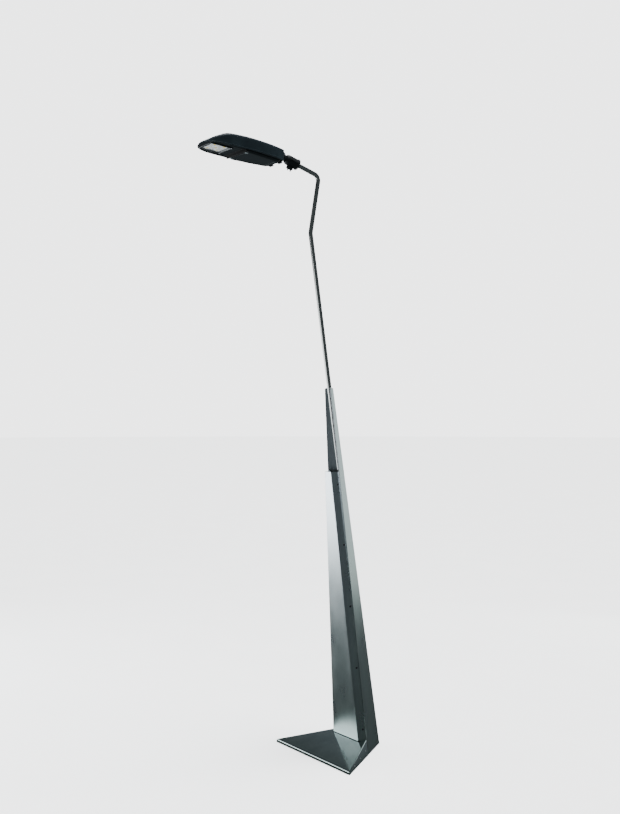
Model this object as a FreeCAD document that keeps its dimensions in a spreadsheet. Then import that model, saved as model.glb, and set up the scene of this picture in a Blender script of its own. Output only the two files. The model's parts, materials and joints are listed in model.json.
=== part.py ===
"""Street lamp post: a V-shaped steel post on a triangular foot, a thin bent mast and a tilting LED head.

Plan coordinates: x across the foot, y backwards from the front edge of the foot, z up from the ground.
Every piece is shifted by -foot_centre in y, so the document's origin is the centre of the anchor
circle on the ground. Head pieces are drawn about the tilt pivot, with the nose towards -y.
"""
import FreeCAD
import Part
import Sketcher
import math
import os
import re
from FreeCAD import Placement, Rotation, Vector

DIMENSIONS = [
    ("foot_half", 320, "half the width of the foot's front edge"),
    ("foot_depth", 427, "depth of the foot, front edge to rear fold"),
    ("foot_centre", 160, "front edge to the centre of the anchor circle"),
    ("shell_lean", 0.1605, "forward lean of the rear fold for each mm of height"),
    ("shell_top", 1823, "height of the rear shell"),
    ("shell_sheet", 3, "sheet thickness of the rear shell and the foot cover"),
    ("wing_low", 126, "half the shell's opening at the ground"),
    ("wing_high", 26, "half the shell's opening at its top"),
    ("lip_rise", 15, "height of the foot cover's front lip"),
    ("apron_slope", 0.255, "rise of the apron for each mm backwards"),
    ("apron_cut_front", 211, "front of the apron's cut-out for the door"),
    ("plate_thick", 8, "thickness of the ground plate"),
    ("plate_inset", 5, "ground plate edge to the outside of the foot cover"),
    ("anchor_circle", 300, "pitch circle diameter of the anchor holes"),
    ("anchor_hole", 14, "diameter of an anchor hole"),
    ("cable_entry", 60, "diameter of the cable entry in the ground plate"),
    ("door_low", 74.5, "height of the door's lower edge"),
    ("door_high", 1406, "height of the door's upper edge"),
    ("door_half_low", 106, "half width of the door face at its lower edge"),
    ("door_half_high", 26, "half width of the door face at its upper edge"),
    ("door_y_low", 209.5, "front of the door at its lower edge"),
    ("door_y_high", 100.5, "front of the door at its upper edge"),
    ("door_sheet", 2, "sheet thickness of the door"),
    ("return_out", 12, "outward run of a door return"),
    ("return_back", 42, "backward run of a door return"),
    ("rail_sheet", 3, "thickness of a door rail"),
    ("rail_width", 30, "width of a door rail"),
    ("rail_gap", 0.4, "gap between the door return and its rail"),
    ("screw_first", 128, "height of the lowest door screw"),
    ("screw_pitch", 305, "spacing of the door screws"),
    ("tube_outer", 22, "outer diameter of the mast tube"),
    ("tube_wall", 2, "wall of the mast tube"),
    ("tube_foot_z", 1168, "height of the tube's lower end"),
    ("tube_foot_y", 208, "plan position of the tube's lower end"),
    ("kink_z", 2585, "height of the mast's shallow bend"),
    ("kink_back", 4, "plan position of the mast's shallow bend, forward of the front edge"),
    ("kink_radius", 60, "centre line radius of the shallow bend"),
    ("bend_z", 2869, "height of the mast's sharp bend"),
    ("bend_y", 46, "plan position of the mast's sharp bend"),
    ("bend_radius", 32, "centre line radius of the sharp bend"),
    ("arm_slope", 0.325, "rise of the arm for each mm forwards"),
    ("arm_reach", 128, "end of the arm, forward of the front edge"),
    ("pivot_reach", 180, "tilt pivot, forward of the front edge"),
    ("sleeve_outer", 50, "outer diameter of the spigot sleeve"),
    ("sleeve_bore", 42, "bore of the spigot sleeve"),
    ("sleeve_near", 36, "tilt pivot to the sleeve's front end"),
    ("sleeve_far", 104, "tilt pivot to the sleeve's rear end"),
    ("tongue_half", 14, "half the thickness of the adapter's tongue"),
    ("knuckle_radius", 17, "radius of the tilt knuckle"),
    ("ear_thick", 8, "thickness of a knuckle ear"),
    ("pivot_bolt", 8, "diameter of the tilt bolt"),
    ("head_tilt", 5.5, "upward tilt of the head at rest, degrees"),
    ("head_rear", 22, "tilt pivot to the rear of the head"),
    ("head_nose", 436, "tilt pivot to the nose of the head"),
    ("rear_half", 82, "half width of the head at its rear"),
    ("side_half", 106, "half width of the head at its widest"),
    ("nose_half", 50, "half width of the head's blunt nose"),
    ("rim_drop", 43, "tilt pivot down to the head's rim"),
    ("head_wall", 3, "wall of the head housing"),
    ("module_rear", 240, "tilt pivot to the rear of the light module"),
    ("window_centre", 356, "tilt pivot to the centre of the light window"),
    ("window_half_x", 52, "half width of the light window"),
    ("window_half_y", 49, "half length of the light window"),
    ("frame_band", 11, "width of the window frame"),
    ("cover_front", 232, "tilt pivot to the front of the gear cover"),
    ("cover_rear", 34, "tilt pivot to the rear of the gear cover"),
    ("cover_half_front", 96, "half width of the gear cover at its front"),
    ("cover_half_rear", 66, "half width of the gear cover at its rear"),
    ("cover_drop", 9, "depth of the gear cover below the rim"),
    ("cover_wall", 2.5, "wall of the gear cover"),
]

doc = FreeCAD.newDocument("StreetLampPost")
sheet = doc.addObject("Spreadsheet::Sheet", "Sizes")
for row, (alias, value, note) in enumerate(DIMENSIONS, start=1):
    sheet.set("A%d" % row, alias.replace("_", " "))
    sheet.set("B%d" % row, str(value))
    sheet.setAlias("B%d" % row, alias)
    sheet.set("C%d" % row, note)
doc.recompute()

nodes = []


# ---------------------------------------------------------------- formulas and frames

def formula(text):
    """Turns a formula of plain aliases into one that names the sheet."""
    return re.sub(r"\b([a-z]+_[a-z_]+)\b", r"Sizes.\1", str(text))


def number(text):
    """The value of a formula of the sheet's aliases."""
    return float(sheet.evalExpression(formula(text)))


def post_frame():
    return Placement(Vector(0, -number("foot_centre"), 0), Rotation())


def pivot_point():
    """The tilt pivot in plan coordinates: on the arm's axis, in front of the sleeve."""
    y = -number("pivot_reach")
    z = number("bend_z") + number("arm_slope") * (number("bend_y") - y)
    return Vector(0, y, z)


def pivot_frame(angle):
    """A frame at the tilt pivot whose -y axis rises forwards by angle degrees."""
    turn = Rotation(Vector(1, 0, 0), -angle)
    return post_frame().multiply(Placement(pivot_point(), turn))


def head_frame():
    return pivot_frame(number("head_tilt"))


def arm_frame():
    return pivot_frame(math.degrees(math.atan(number("arm_slope"))))


def keep(item, label, frame):
    """Names a finished sub-part and puts it in its place."""
    item.Label = label
    item.Placement = frame
    nodes.append(item)
    return item


# ---------------------------------------------------------------- sketches and features

def tie(sketch, corner, position, text, kind):
    """Ties one coordinate of a sketch point to a formula."""
    value = number(text)
    if abs(value) < 1e-9:
        axis = -2 if kind == "DistanceX" else -1
        sketch.addConstraint(Sketcher.Constraint("PointOnObject", corner, position, axis))
        return
    if value > 0:
        index = sketch.addConstraint(Sketcher.Constraint(kind, -1, 1, corner, position, value))
        sketch.setExpression("Constraints[%d]" % index, formula(text))
    else:
        index = sketch.addConstraint(Sketcher.Constraint(kind, corner, position, -1, 1, -value))
        sketch.setExpression("Constraints[%d]" % index, "-(%s)" % formula(text))


def polygon(sketch, corners):
    """Adds a closed outline whose corners are pairs of formulas."""
    first = sketch.GeometryCount
    count = len(corners)
    points = [Vector(number(x), number(y), 0) for x, y in corners]
    for i in range(count):
        sketch.addGeometry(Part.LineSegment(points[i], points[(i + 1) % count]), False)
    for i in range(count):
        after = first + (i + 1) % count
        sketch.addConstraint(Sketcher.Constraint("Coincident", first + i, 2, after, 1))
    for i, (x, y) in enumerate(corners):
        tie(sketch, first + i, 1, x, "DistanceX")
        tie(sketch, first + i, 1, y, "DistanceY")


def circle(sketch, x, y, diameter):
    """Adds a circle placed and sized by formulas."""
    centre = Vector(number(x), number(y), 0)
    radius = number(diameter) / 2
    index = sketch.addGeometry(Part.Circle(centre, Vector(0, 0, 1), radius), False)
    tie(sketch, index, 3, x, "DistanceX")
    tie(sketch, index, 3, y, "DistanceY")
    bound = sketch.addConstraint(Sketcher.Constraint("Diameter", index, 2 * radius))
    sketch.setExpression("Constraints[%d]" % bound, formula(diameter))


def rectangle(half_x, near_y, far_y):
    """Corners of a rectangle that is symmetric about x = 0."""
    return [("-(%s)" % half_x, near_y), (half_x, near_y), (half_x, far_y), ("-(%s)" % half_x, far_y)]


def start_body(name):
    body = doc.addObject("PartDesign::Body", name)
    body.AllowCompound = False
    return body


def start_sketch(body, name, role="XY_Plane", height="0"):
    """A sketch on one of the body's own origin planes, moved along its normal."""
    sketch = body.newObject("Sketcher::SketchObject", name)
    plane = [item for item in body.Origin.OriginFeatures if item.Role == role][0]
    sketch.AttachmentSupport = (plane, [""])
    sketch.MapMode = "FlatFace"
    sketch.AttachmentOffset = Placement(Vector(0, 0, number(height)), Rotation())
    sketch.setExpression("AttachmentOffset.Base.z", formula(height))
    return sketch


def pad(body, sketch, length, symmetric=False):
    feature = body.newObject("PartDesign::Pad", body.Name + "_pad")
    feature.Profile = sketch
    feature.SideType = "Symmetric" if symmetric else "One side"
    feature.Length = number(length)
    feature.setExpression("Length", formula(length))
    doc.recompute()
    return feature


def pocket(body, sketch):
    """Cuts a sketch through the whole body, both ways, and checks that it cut something."""
    before = body.Shape.Volume
    feature = body.newObject("PartDesign::Pocket", body.Name + "_pocket")
    feature.Profile = sketch
    feature.Type = "ThroughAll"
    feature.SideType = "Symmetric"
    doc.recompute()
    if body.Shape.Volume > before - 1:
        raise RuntimeError("pocket cut nothing in " + body.Name)
    return feature


def fillet(body, wanted, radius):
    """Rounds the edges of the body's tip that the test picks."""
    base = body.Tip
    names = ["Edge%d" % (i + 1) for i, edge in enumerate(base.Shape.Edges) if wanted(edge)]
    if not names:
        raise RuntimeError("no edge to round in " + body.Name)
    feature = body.newObject("PartDesign::Fillet", body.Name + "_fillet")
    feature.Base = (base, names)
    feature.Radius = radius
    doc.recompute()
    return feature


def loft_body(name, lower, upper, low, high):
    """A body between two horizontal outlines with the same number of corners."""
    body = start_body(name)
    first = start_sketch(body, name + "_low", height=low)
    polygon(first, lower)
    second = start_sketch(body, name + "_high", height=high)
    polygon(second, upper)
    feature = body.newObject("PartDesign::AdditiveLoft", name + "_loft")
    feature.Profile = first
    feature.Sections = [second]
    feature.Ruled = True
    doc.recompute()
    return body


def plate_body(name, corners, low, thick, holes=()):
    """A flat plate with a polygonal outline and round holes."""
    body = start_body(name)
    outline = start_sketch(body, name + "_outline", height=low)
    polygon(outline, corners)
    for x, y, diameter in holes:
        circle(outline, x, y, diameter)
    pad(body, outline, thick)
    return body


def ring_body(name, outer, inner, length, start="0"):
    """A tube along the body's z axis."""
    body = start_body(name)
    sketch = start_sketch(body, name + "_ring", height=start)
    circle(sketch, "0", "0", outer)
    circle(sketch, "0", "0", inner)
    pad(body, sketch, length)
    return body


def turned_body(name, profile):
    """A body turned about z from an outline of (radius, height) pairs."""
    body = start_body(name)
    sketch = start_sketch(body, name + "_profile", "XZ_Plane")
    polygon(sketch, profile)
    feature = body.newObject("PartDesign::Revolution", name + "_turn")
    feature.Profile = sketch
    feature.ReferenceAxis = (sketch, ["V_Axis"])
    feature.Angle = 360
    doc.recompute()
    return body


def join(name, pieces):
    fused = doc.addObject("Part::MultiFuse", name)
    fused.Shapes = pieces
    fused.Refine = True
    doc.recompute()
    return fused


def cut(name, base, tool):
    result = doc.addObject("Part::Cut", name)
    result.Base = base
    result.Tool = tool
    doc.recompute()
    return result


def block(name, half_x, near_y, far_y, low, high):
    """A box that is symmetric about x = 0, between two y and two z formulas."""
    item = doc.addObject("Part::Box", name)
    item.setExpression("Length", formula("2 * (%s)" % half_x))
    item.setExpression("Width", formula("(%s) - (%s)" % (far_y, near_y)))
    item.setExpression("Height", formula("(%s) - (%s)" % (high, low)))
    item.Placement = Placement(Vector(-number(half_x), number(near_y), number(low)), Rotation())
    doc.recompute()
    return item


def feature_of(name, shape):
    """A sub-part whose shape is made in code, for scattered fasteners and oblique strips."""
    item = doc.addObject("Part::Feature", name)
    item.Shape = shape
    return item


def aim(origin, direction):
    """A placement whose z axis points along direction."""
    return Placement(origin, Rotation(Vector(0, 0, 1), direction))


# ---------------------------------------------------------------- fasteners

def button_screw(thread, head, rise, length):
    """A domed socket screw: seat at z = 0, head above it, shank below."""
    dome = Part.makeCylinder(head / 2, rise)
    top = [edge for edge in dome.Edges if edge.BoundBox.ZMin > rise - 0.01 and edge.Closed]
    dome = dome.makeFillet(rise * 0.7, top)
    socket = hexagon(thread * 0.55, rise).translated(Vector(0, 0, rise * 0.45))
    shank = Part.makeCylinder(thread / 2, length, Vector(0, 0, -length))
    return dome.cut(socket).fuse(shank).removeSplitter()


def hexagon(flats, height):
    """A hexagonal prism on z = 0, measured across its flats."""
    radius = flats / math.sqrt(3)
    turns = [math.radians(60 * i) for i in range(7)]
    rim = [Vector(radius * math.cos(turn), radius * math.sin(turn), 0) for turn in turns]
    return Part.Face(Part.makePolygon(rim)).extrude(Vector(0, 0, height))


def nut(thread, flats, height):
    """A hexagonal nut on z = 0."""
    return hexagon(flats, height).cut(Part.makeCylinder(thread / 2, height))


def washer(bore, outer, thick):
    """A flat washer on z = 0."""
    return Part.makeCylinder(outer / 2, thick).cut(Part.makeCylinder(bore / 2, thick))


def spread(shape, places):
    """A compound of the shape at each of the placements."""
    copies = []
    for place in places:
        copy = shape.copy()
        copy.Placement = place.multiply(shape.Placement)
        copies.append(copy)
    return Part.makeCompound(copies)


# ---------------------------------------------------------------- the post

SLANT = "sqrt(foot_half^2 + foot_depth^2)"


def wing_half(rise):
    """Half the shell's opening at a height."""
    return "(wing_low - (wing_low - wing_high) * (%s) / shell_top)" % rise


def side_y(half, rise, inset="0"):
    """y of the shell's side plane at a half width and height, moved inwards by inset."""
    return ("(foot_depth * (1 - (%s) / foot_half) - shell_lean * (%s) - (%s) * %s / foot_half)"
            % (half, rise, inset, SLANT))


def shell_section(rise):
    """The V of the rear shell at a height, its front edges cut square."""
    half = wing_half(rise)
    inner = "(%s - shell_sheet * foot_depth / %s)" % (half, SLANT)
    front = side_y(half, rise)
    front_inner = "(%s - shell_sheet * foot_half / %s)" % (front, SLANT)
    return [(half, front), ("0", side_y("0", rise)), ("-" + half, front),
            ("-" + inner, front_inner), ("0", side_y("0", rise, "shell_sheet")), (inner, front_inner)]


def infill(rise, inset, front):
    """A triangle-fronted outline inside the V at a height, from y = front backwards."""
    half = "(foot_half * (1 - ((%s) + shell_lean * (%s) + (%s) * %s / foot_half) / foot_depth))" % (
        front, rise, inset, SLANT)
    return [("-" + half, front), (half, front), ("0", side_y("0", rise, inset))]


def make_rear_shell():
    """The post's back: one sheet folded to a V that narrows and leans forwards as it rises."""
    body = loft_body("rear_shell", shell_section("0"), shell_section("shell_top"), "0", "shell_top")
    return keep(body, "rear_shell", post_frame())


def apron_height(y):
    return "(lip_rise + apron_slope * (%s))" % y


def cover_form(name, inset, top_drop):
    """The wedge between the lip, the skirts and the apron, all moved inwards by inset."""
    def outline(rise):
        front = "(foot_half * (1 - ((%s) + shell_lean * (%s) + (%s) * %s / foot_half) / foot_depth))" % (
            inset, rise, inset, SLANT)
        rear = "(wing_low + 1 + (%s))" % inset
        rear_y = side_y("wing_low + 1", rise, inset)
        return [("-" + front, inset), (front, inset), (rear, rear_y), ("-" + rear, rear_y)]

    body = loft_body(name, outline("0"), outline("150"), "0", "150")
    sketch = start_sketch(body, name + "_slope", "YZ_Plane")
    polygon(sketch, [("-50", apron_height("-50") + " - (%s)" % top_drop),
                     ("400", apron_height("400") + " - (%s)" % top_drop), ("400", "400"), ("-50", "400")])
    pocket(body, sketch)
    return body


def skirt_places():
    """Where the skirt screws sit: three along each skirt, square to it."""
    places = []
    for side in (-1, 1):
        for half in (150, 207, 264):
            rise = number(apron_height(side_y(str(half), "20"))) * 0.42
            y = number(side_y(str(half), str(rise)))
            out = Vector(number("foot_depth") * side, number("foot_half"),
                         number("foot_half") * number("shell_lean")).normalize()
            places.append(aim(Vector(side * half, y, rise), out))
    return places


def make_foot_cover():
    """The sloping apron with its front lip and side skirts, bent from one sheet."""
    outer = cover_form("cover_outside", "0", "0")
    inner = cover_form("cover_inside", "shell_sheet", "shell_sheet * sqrt(1 + apron_slope^2)")
    behind = block("cover_behind", "wing_low + 1", "apron_cut_front + 38", "apron_cut_front + 80", "-1", "200")
    door_gap = plate_body("cover_door_gap", [
        ("-(door_half_low + 2)", "apron_cut_front"), ("door_half_low + 2", "apron_cut_front"),
        ("door_half_low + return_out + 4", "apron_cut_front + return_back + 4"),
        ("-(door_half_low + return_out + 4)", "apron_cut_front + return_back + 4")], "20", "200")
    drill = Part.makeCylinder(2, 20, Vector(0, 0, -10))
    screw_holes = feature_of("skirt_screw_holes", spread(drill, skirt_places()))
    tools = join("cover_tools", [inner, behind, door_gap, screw_holes])
    cover = cut("foot_cover", outer, tools)
    return keep(cover, "foot_cover", post_frame())


def make_ground_plate():
    """The triangular plate on the ground, with three anchor holes and the cable entry."""
    edge = "(plate_inset + shell_lean * plate_thick)"
    front = "(foot_half * (1 - (plate_inset + %s * %s / foot_half) / foot_depth))" % (edge, SLANT)
    body = plate_body("ground_plate",
                      [("-" + front, "plate_inset"), (front, "plate_inset"), ("0", side_y("0", "0", edge))],
                      "0", "plate_thick", [("0", "foot_centre", "cable_entry")])
    drill = start_sketch(body, "anchor_hole_sketch")
    circle(drill, "0", "foot_centre + anchor_circle / 2", "anchor_hole")
    circle(drill, "anchor_circle / 2 * sqrt(3) / 2", "foot_centre - anchor_circle / 4", "anchor_hole")
    circle(drill, "-anchor_circle / 2 * sqrt(3) / 2", "foot_centre - anchor_circle / 4", "anchor_hole")
    pocket(body, drill)
    return keep(body, "ground_plate", post_frame())


def make_gussets():
    """Two upright ribs that tie the shell's wings to the ground plate."""
    for side, label in ((-1, "left_gusset"), (1, "right_gusset")):
        rib = start_body(label)
        sketch = start_sketch(rib, label + "_sketch", "YZ_Plane", "%d * 58 - 2.5" % side)
        back = side_y("60.5", "plate_thick", "shell_sheet + 1")
        high = side_y("60.5", "110", "shell_sheet + 1")
        polygon(sketch, [("235", "plate_thick"), (back, "plate_thick"), (high, "110"), (high + " - 18", "110")])
        pad(rib, sketch, "5")
        keep(rib, label, post_frame())


def make_diaphragms():
    """Level plates that brace the V: one carries the equipment rail, one the mast."""
    for label, rise, front in (("lower_diaphragm", "300", "270"), ("mast_shelf", "tube_foot_z - 14", "176")):
        hole_y = side_y("0", rise, "shell_sheet") + " - 62" if label == "lower_diaphragm" else "tube_foot_y - 22"
        width = "36" if label == "lower_diaphragm" else "10"
        body = plate_body(label, infill("(%s + 6)" % rise, "shell_sheet + 0.5", front), rise, "5",
                          [("0", hole_y, width)])
        keep(body, label, post_frame())


def door_section(half, front):
    """The door's channel at one height: face, two bends and two returns."""
    run = "sqrt(return_out^2 + return_back^2)"
    bend = "(%s + door_sheet * (return_out - %s) / return_back)" % (half, run)
    tail = "(%s + return_out)" % half
    tail_inner = "(%s - door_sheet * return_back / %s)" % (tail, run)
    back = "(%s + return_back)" % front
    back_inner = "(%s + door_sheet * return_out / %s)" % (back, run)
    inside = "(%s + door_sheet)" % front
    return [("-" + half, front), (half, front), (tail, back), (tail_inner, back_inner),
            (bend, inside), ("-" + bend, inside), ("-" + tail_inner, back_inner), ("-" + tail, back)]


def return_frame(side):
    """Origin, backward direction, upward direction and outward normal of one door return."""
    low = Vector(side * number("door_half_low"), number("door_y_low"), number("door_low"))
    high = Vector(side * number("door_half_high"), number("door_y_high"), number("door_high"))
    back = Vector(side * number("return_out"), number("return_back"), 0).normalize()
    rise = high.sub(low).normalize()
    out = back.cross(rise).normalize() * side
    return low, back, rise, out


def return_point(side, height, from_tail, inwards):
    """A point on a return at a height, a distance in front of its rear edge and a depth inside it."""
    low, back, rise, out = return_frame(side)
    run = math.hypot(number("return_out"), number("return_back"))
    start = low.add(rise * ((height - low.z) / rise.z))
    return start.add(back * (run - from_tail)).sub(out * inwards)


def screw_places(inwards):
    """Where the door screws sit, five down each return, their axes square to it."""
    places = []
    for side in (-1, 1):
        out = return_frame(side)[3]
        for i in range(5):
            height = number("screw_first") + i * number("screw_pitch")
            if i == 4:
                height = height - 5
            places.append(aim(return_point(side, height, 13, inwards), out))
    return places


def make_door():
    """The front door: a channel that narrows and leans back as it rises, with screw holes."""
    channel = loft_body("door_channel", door_section("door_half_low", "door_y_low"),
                        door_section("door_half_high", "door_y_high"), "door_low", "door_high")
    hole = Part.makeCylinder(2.75, 12, Vector(0, 0, -6))
    holes = feature_of("door_holes", spread(hole, screw_places(0)))
    door = cut("front_door", channel, holes)
    return keep(door, "front_door", post_frame())


def make_door_rails():
    """The strips inside the returns that the door screws bite on."""
    depth = number("door_sheet") + number("rail_gap")
    thick = number("rail_sheet")
    width = number("rail_width")
    for side, label in ((-1, "left_door_rail"), (1, "right_door_rail")):
        ends = []
        for height in (number("door_low") + 16, number("door_high") - 8):
            ring = [return_point(side, height, 1, depth), return_point(side, height, width, depth),
                    return_point(side, height, width, depth + thick), return_point(side, height, 1, depth + thick)]
            ends.append(Part.makePolygon(ring + ring[:1]))
        strip = Part.makeLoft(ends, True, True)
        drill = Part.makeCylinder(3.55, 24, Vector(0, 0, -18))
        strip = strip.cut(spread(drill, screw_places(0)))
        keep(feature_of(label, strip), label, post_frame())


def make_door_fasteners():
    """Button screws down both returns, each in a rivet nut behind its rail."""
    screw = button_screw(5, 9.5, 2.8, 16)
    item = feature_of("door_screws", spread(screw, screw_places(0)))
    keep(item, "door_screws", post_frame())
    depth = number("door_sheet") + number("rail_gap") + number("rail_sheet")
    barrel = Part.makeCylinder(3.5, 13, Vector(0, 0, -13 + number("rail_sheet")))
    flange = Part.makeCylinder(4.8, 1, Vector(0, 0, -1))
    rivet = barrel.fuse(flange).cut(Part.makeCylinder(2.55, 20, Vector(0, 0, -15)))
    keep(feature_of("rivet_nuts", spread(rivet, screw_places(depth))), "rivet_nuts", post_frame())


def make_foot_fasteners():
    """Three small screws along each skirt of the foot cover."""
    screw = button_screw(4, 8, 2.2, 3.2)
    keep(feature_of("skirt_screws", spread(screw, skirt_places())), "skirt_screws", post_frame())


def make_equipment():
    """The fuse box on its rail inside the door, with its gland, earth stud and lug."""
    rail_y = "268"
    rail = block("equipment_rail", "17.5", rail_y, rail_y + " + 3", "305", "720")
    keep(rail, "equipment_rail", post_frame().multiply(rail.Placement))
    outside = block("fuse_box_outside", "38", "208", rail_y, "430", "600")
    inside = block("fuse_box_inside", "35.5", "207", "265.5", "432.5", "597.5")
    gland_bore = doc.addObject("Part::Cylinder", "fuse_box_bore")
    gland_bore.Radius = 10
    gland_bore.Height = 10
    gland_bore.Placement = Placement(Vector(0, 240, 426), Rotation())
    doc.recompute()
    tools = join("fuse_box_tools", [inside, gland_bore])
    keep(cut("fuse_box", outside, tools), "fuse_box", post_frame())
    lid = block("fuse_box_lid", "38", "204.6", "207.8", "430", "600")
    keep(lid, "fuse_box_lid", post_frame().multiply(lid.Placement))
    carrier = block("fuse_carrier", "9", "222", "262", "500", "584")
    keep(carrier, "fuse_carrier", post_frame().multiply(carrier.Placement))
    terminal = block("post_terminals", "30", "232", "262", "446", "480")
    keep(terminal, "post_terminals", post_frame().multiply(terminal.Placement))
    gland = turned_body("fuse_box_gland", [("5", "-22"), ("9", "-22"), ("11", "-14"), ("14", "-12"), ("14", "0"),
                                           ("9.9", "0"), ("9.9", "8"), ("5", "8")])
    gland_place = Placement(Vector(0, 240, 430), Rotation())
    keep(gland, "fuse_box_gland", post_frame().multiply(gland_place))
    stud_place = Placement(Vector(38, 235, number("plate_thick")), Rotation())
    stud = Part.makeCylinder(4, 26).fuse(nut(8, 13, 6.5).translated(Vector(0, 0, 9)))
    keep(feature_of("earth_stud", stud.removeSplitter()), "earth_stud", post_frame().multiply(stud_place))
    lug = Part.makeBox(12, 34, 2, Vector(-6, -6, 0)).cut(Part.makeCylinder(4.05, 2))
    lug_place = Placement(stud_place.Base.add(Vector(0, 0, 5)), Rotation(Vector(0, 0, 1), 60))
    keep(feature_of("earth_lug", lug), "earth_lug", post_frame().multiply(lug_place))


# ---------------------------------------------------------------- the mast

def make_mast_tube():
    """The mast: one tube with a shallow bend, a sharp bend and a short rising arm."""
    body = start_body("mast_tube")
    spine = start_sketch(body, "mast_spine", "YZ_Plane")
    stations = [("tube_foot_y", "tube_foot_z"), ("-kink_back", "kink_z"), ("bend_y", "bend_z"),
                ("-arm_reach", "bend_z + arm_slope * (bend_y + arm_reach)")]
    radii = ["kink_radius", "bend_radius"]
    points = [Vector(number(y), number(z), 0) for y, z in stations]
    starts = [points[0]]
    arcs = []
    for i, radius in enumerate(radii, start=1):
        before = points[i - 1].sub(points[i]).normalize()
        after = points[i + 1].sub(points[i]).normalize()
        half_turn = math.acos(max(-1, min(1, -before.dot(after)))) / 2
        size = number(radius)
        reach = size * math.tan(half_turn)
        inward = before.add(after).normalize()
        middle = points[i].add(inward * (size / math.cos(half_turn) - size))
        first = points[i].add(before * reach)
        last = points[i].add(after * reach)
        arcs.append(Part.Arc(first, middle, last))
        starts += [first, last]
    starts.append(points[-1])
    lines = [spine.addGeometry(Part.LineSegment(starts[2 * i], starts[2 * i + 1]), False) for i in range(3)]
    for i, arc in enumerate(arcs):
        bend = spine.addGeometry(arc, False)
        into = points[i + 1].sub(points[i])
        onward = points[i + 2].sub(points[i + 1])
        near, far = (1, 2) if into.cross(onward).z > 0 else (2, 1)
        spine.addConstraint(Sketcher.Constraint("Tangent", lines[i], 2, bend, near))
        spine.addConstraint(Sketcher.Constraint("Tangent", bend, far, lines[i + 1], 1))
        bound = spine.addConstraint(Sketcher.Constraint("Radius", bend, number(radii[i])))
        spine.setExpression("Constraints[%d]" % bound, formula(radii[i]))
        corner = spine.addGeometry(Part.Point(points[i + 1]), True)
        spine.addConstraint(Sketcher.Constraint("PointOnObject", corner, 1, lines[i]))
        spine.addConstraint(Sketcher.Constraint("PointOnObject", corner, 1, lines[i + 1]))
        tie(spine, corner, 1, stations[i + 1][0], "DistanceX")
        tie(spine, corner, 1, stations[i + 1][1], "DistanceY")
    for line, position, station in ((lines[0], 1, stations[0]), (lines[2], 2, stations[3])):
        tie(spine, line, position, station[0], "DistanceX")
        tie(spine, line, position, station[1], "DistanceY")
    doc.recompute()
    section = body.newObject("Sketcher::SketchObject", "mast_section")
    section.AttachmentSupport = [(spine, "Edge1")]
    section.MapMode = "NormalToEdge"
    doc.recompute()
    circle(section, "0", "0", "tube_outer")
    circle(section, "0", "0", "tube_outer - 2 * tube_wall")
    pipe = body.newObject("PartDesign::AdditivePipe", "mast_sweep")
    pipe.Profile = section
    pipe.Spine = (spine, ["Edge%d" % (i + 1) for i in range(5)])
    pipe.Mode = "Frenet"
    doc.recompute()
    return keep(body, "mast_tube", post_frame())


def mast_point(height):
    """A point on the mast's straight lower run, and the run's direction."""
    low = Vector(0, number("tube_foot_y"), number("tube_foot_z"))
    high = Vector(0, -number("kink_back"), number("kink_z"))
    way = high.sub(low)
    return low.add(way * ((height - low.z) / way.z)), way.normalize()


def clamp_turn(way):
    """The turn of a mast clamp: its ring round the mast, its ears forwards."""
    return Rotation(Vector(1, 0, 0), Vector(0, 1, 0), way, "ZXY")


MAST_CLAMPS = ((1240, "lower_mast_clamp"), (1385, "upper_mast_clamp"))


def make_mast_fixings():
    """The socket that the mast stands in, and two clamps that hold it in the fold."""
    low, way = mast_point(number("tube_foot_z"))
    along = post_frame().multiply(aim(low, way))
    socket = turned_body("mast_socket", [("0", "-6"), ("15", "-6"), ("15", "34"), ("tube_outer / 2 + 0.1", "34"),
                                         ("tube_outer / 2 + 0.1", "0"), ("0", "0")])
    keep(socket, "mast_socket", along)
    for height, label in MAST_CLAMPS:
        point, way = mast_point(height)
        ring = ring_body(label + "_ring", "tube_outer + 3", "tube_outer + 0.2", "22", "-11")
        ear = block(label + "_ear", "7", "-(tube_outer / 2 + 14)", "-(tube_outer / 2 + 2)", "-11", "11")
        slit = block(label + "_slit", "1.2", "-(tube_outer / 2 + 15)", "-(tube_outer / 2 - 3)", "-12", "12")
        bore = doc.addObject("Part::Cylinder", label + "_bore")
        bore.Radius = 2.5
        bore.Height = 20
        bore.Placement = Placement(Vector(-10, -number("tube_outer") / 2 - 8, 0), Rotation(Vector(0, 1, 0), 90))
        doc.recompute()
        clamp = cut(label, join(label + "_solid", [ring, ear]), join(label + "_tools", [slit, bore]))
        keep(clamp, label, post_frame().multiply(Placement(point, clamp_turn(way))))
    places = []
    for height, _ in MAST_CLAMPS:
        point, way = mast_point(height)
        turn = clamp_turn(way)
        seat = point.add(turn.multVec(Vector(7, -number("tube_outer") / 2 - 8, 0)))
        places.append(Placement(seat, turn.multiply(Rotation(Vector(0, 0, 1), Vector(1, 0, 0)))))
    screw = button_screw(5, 9, 2.8, 18)
    keep(feature_of("mast_clamp_screws", spread(screw, places)), "mast_clamp_screws", post_frame())


# ---------------------------------------------------------------- the spigot adapter

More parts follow.
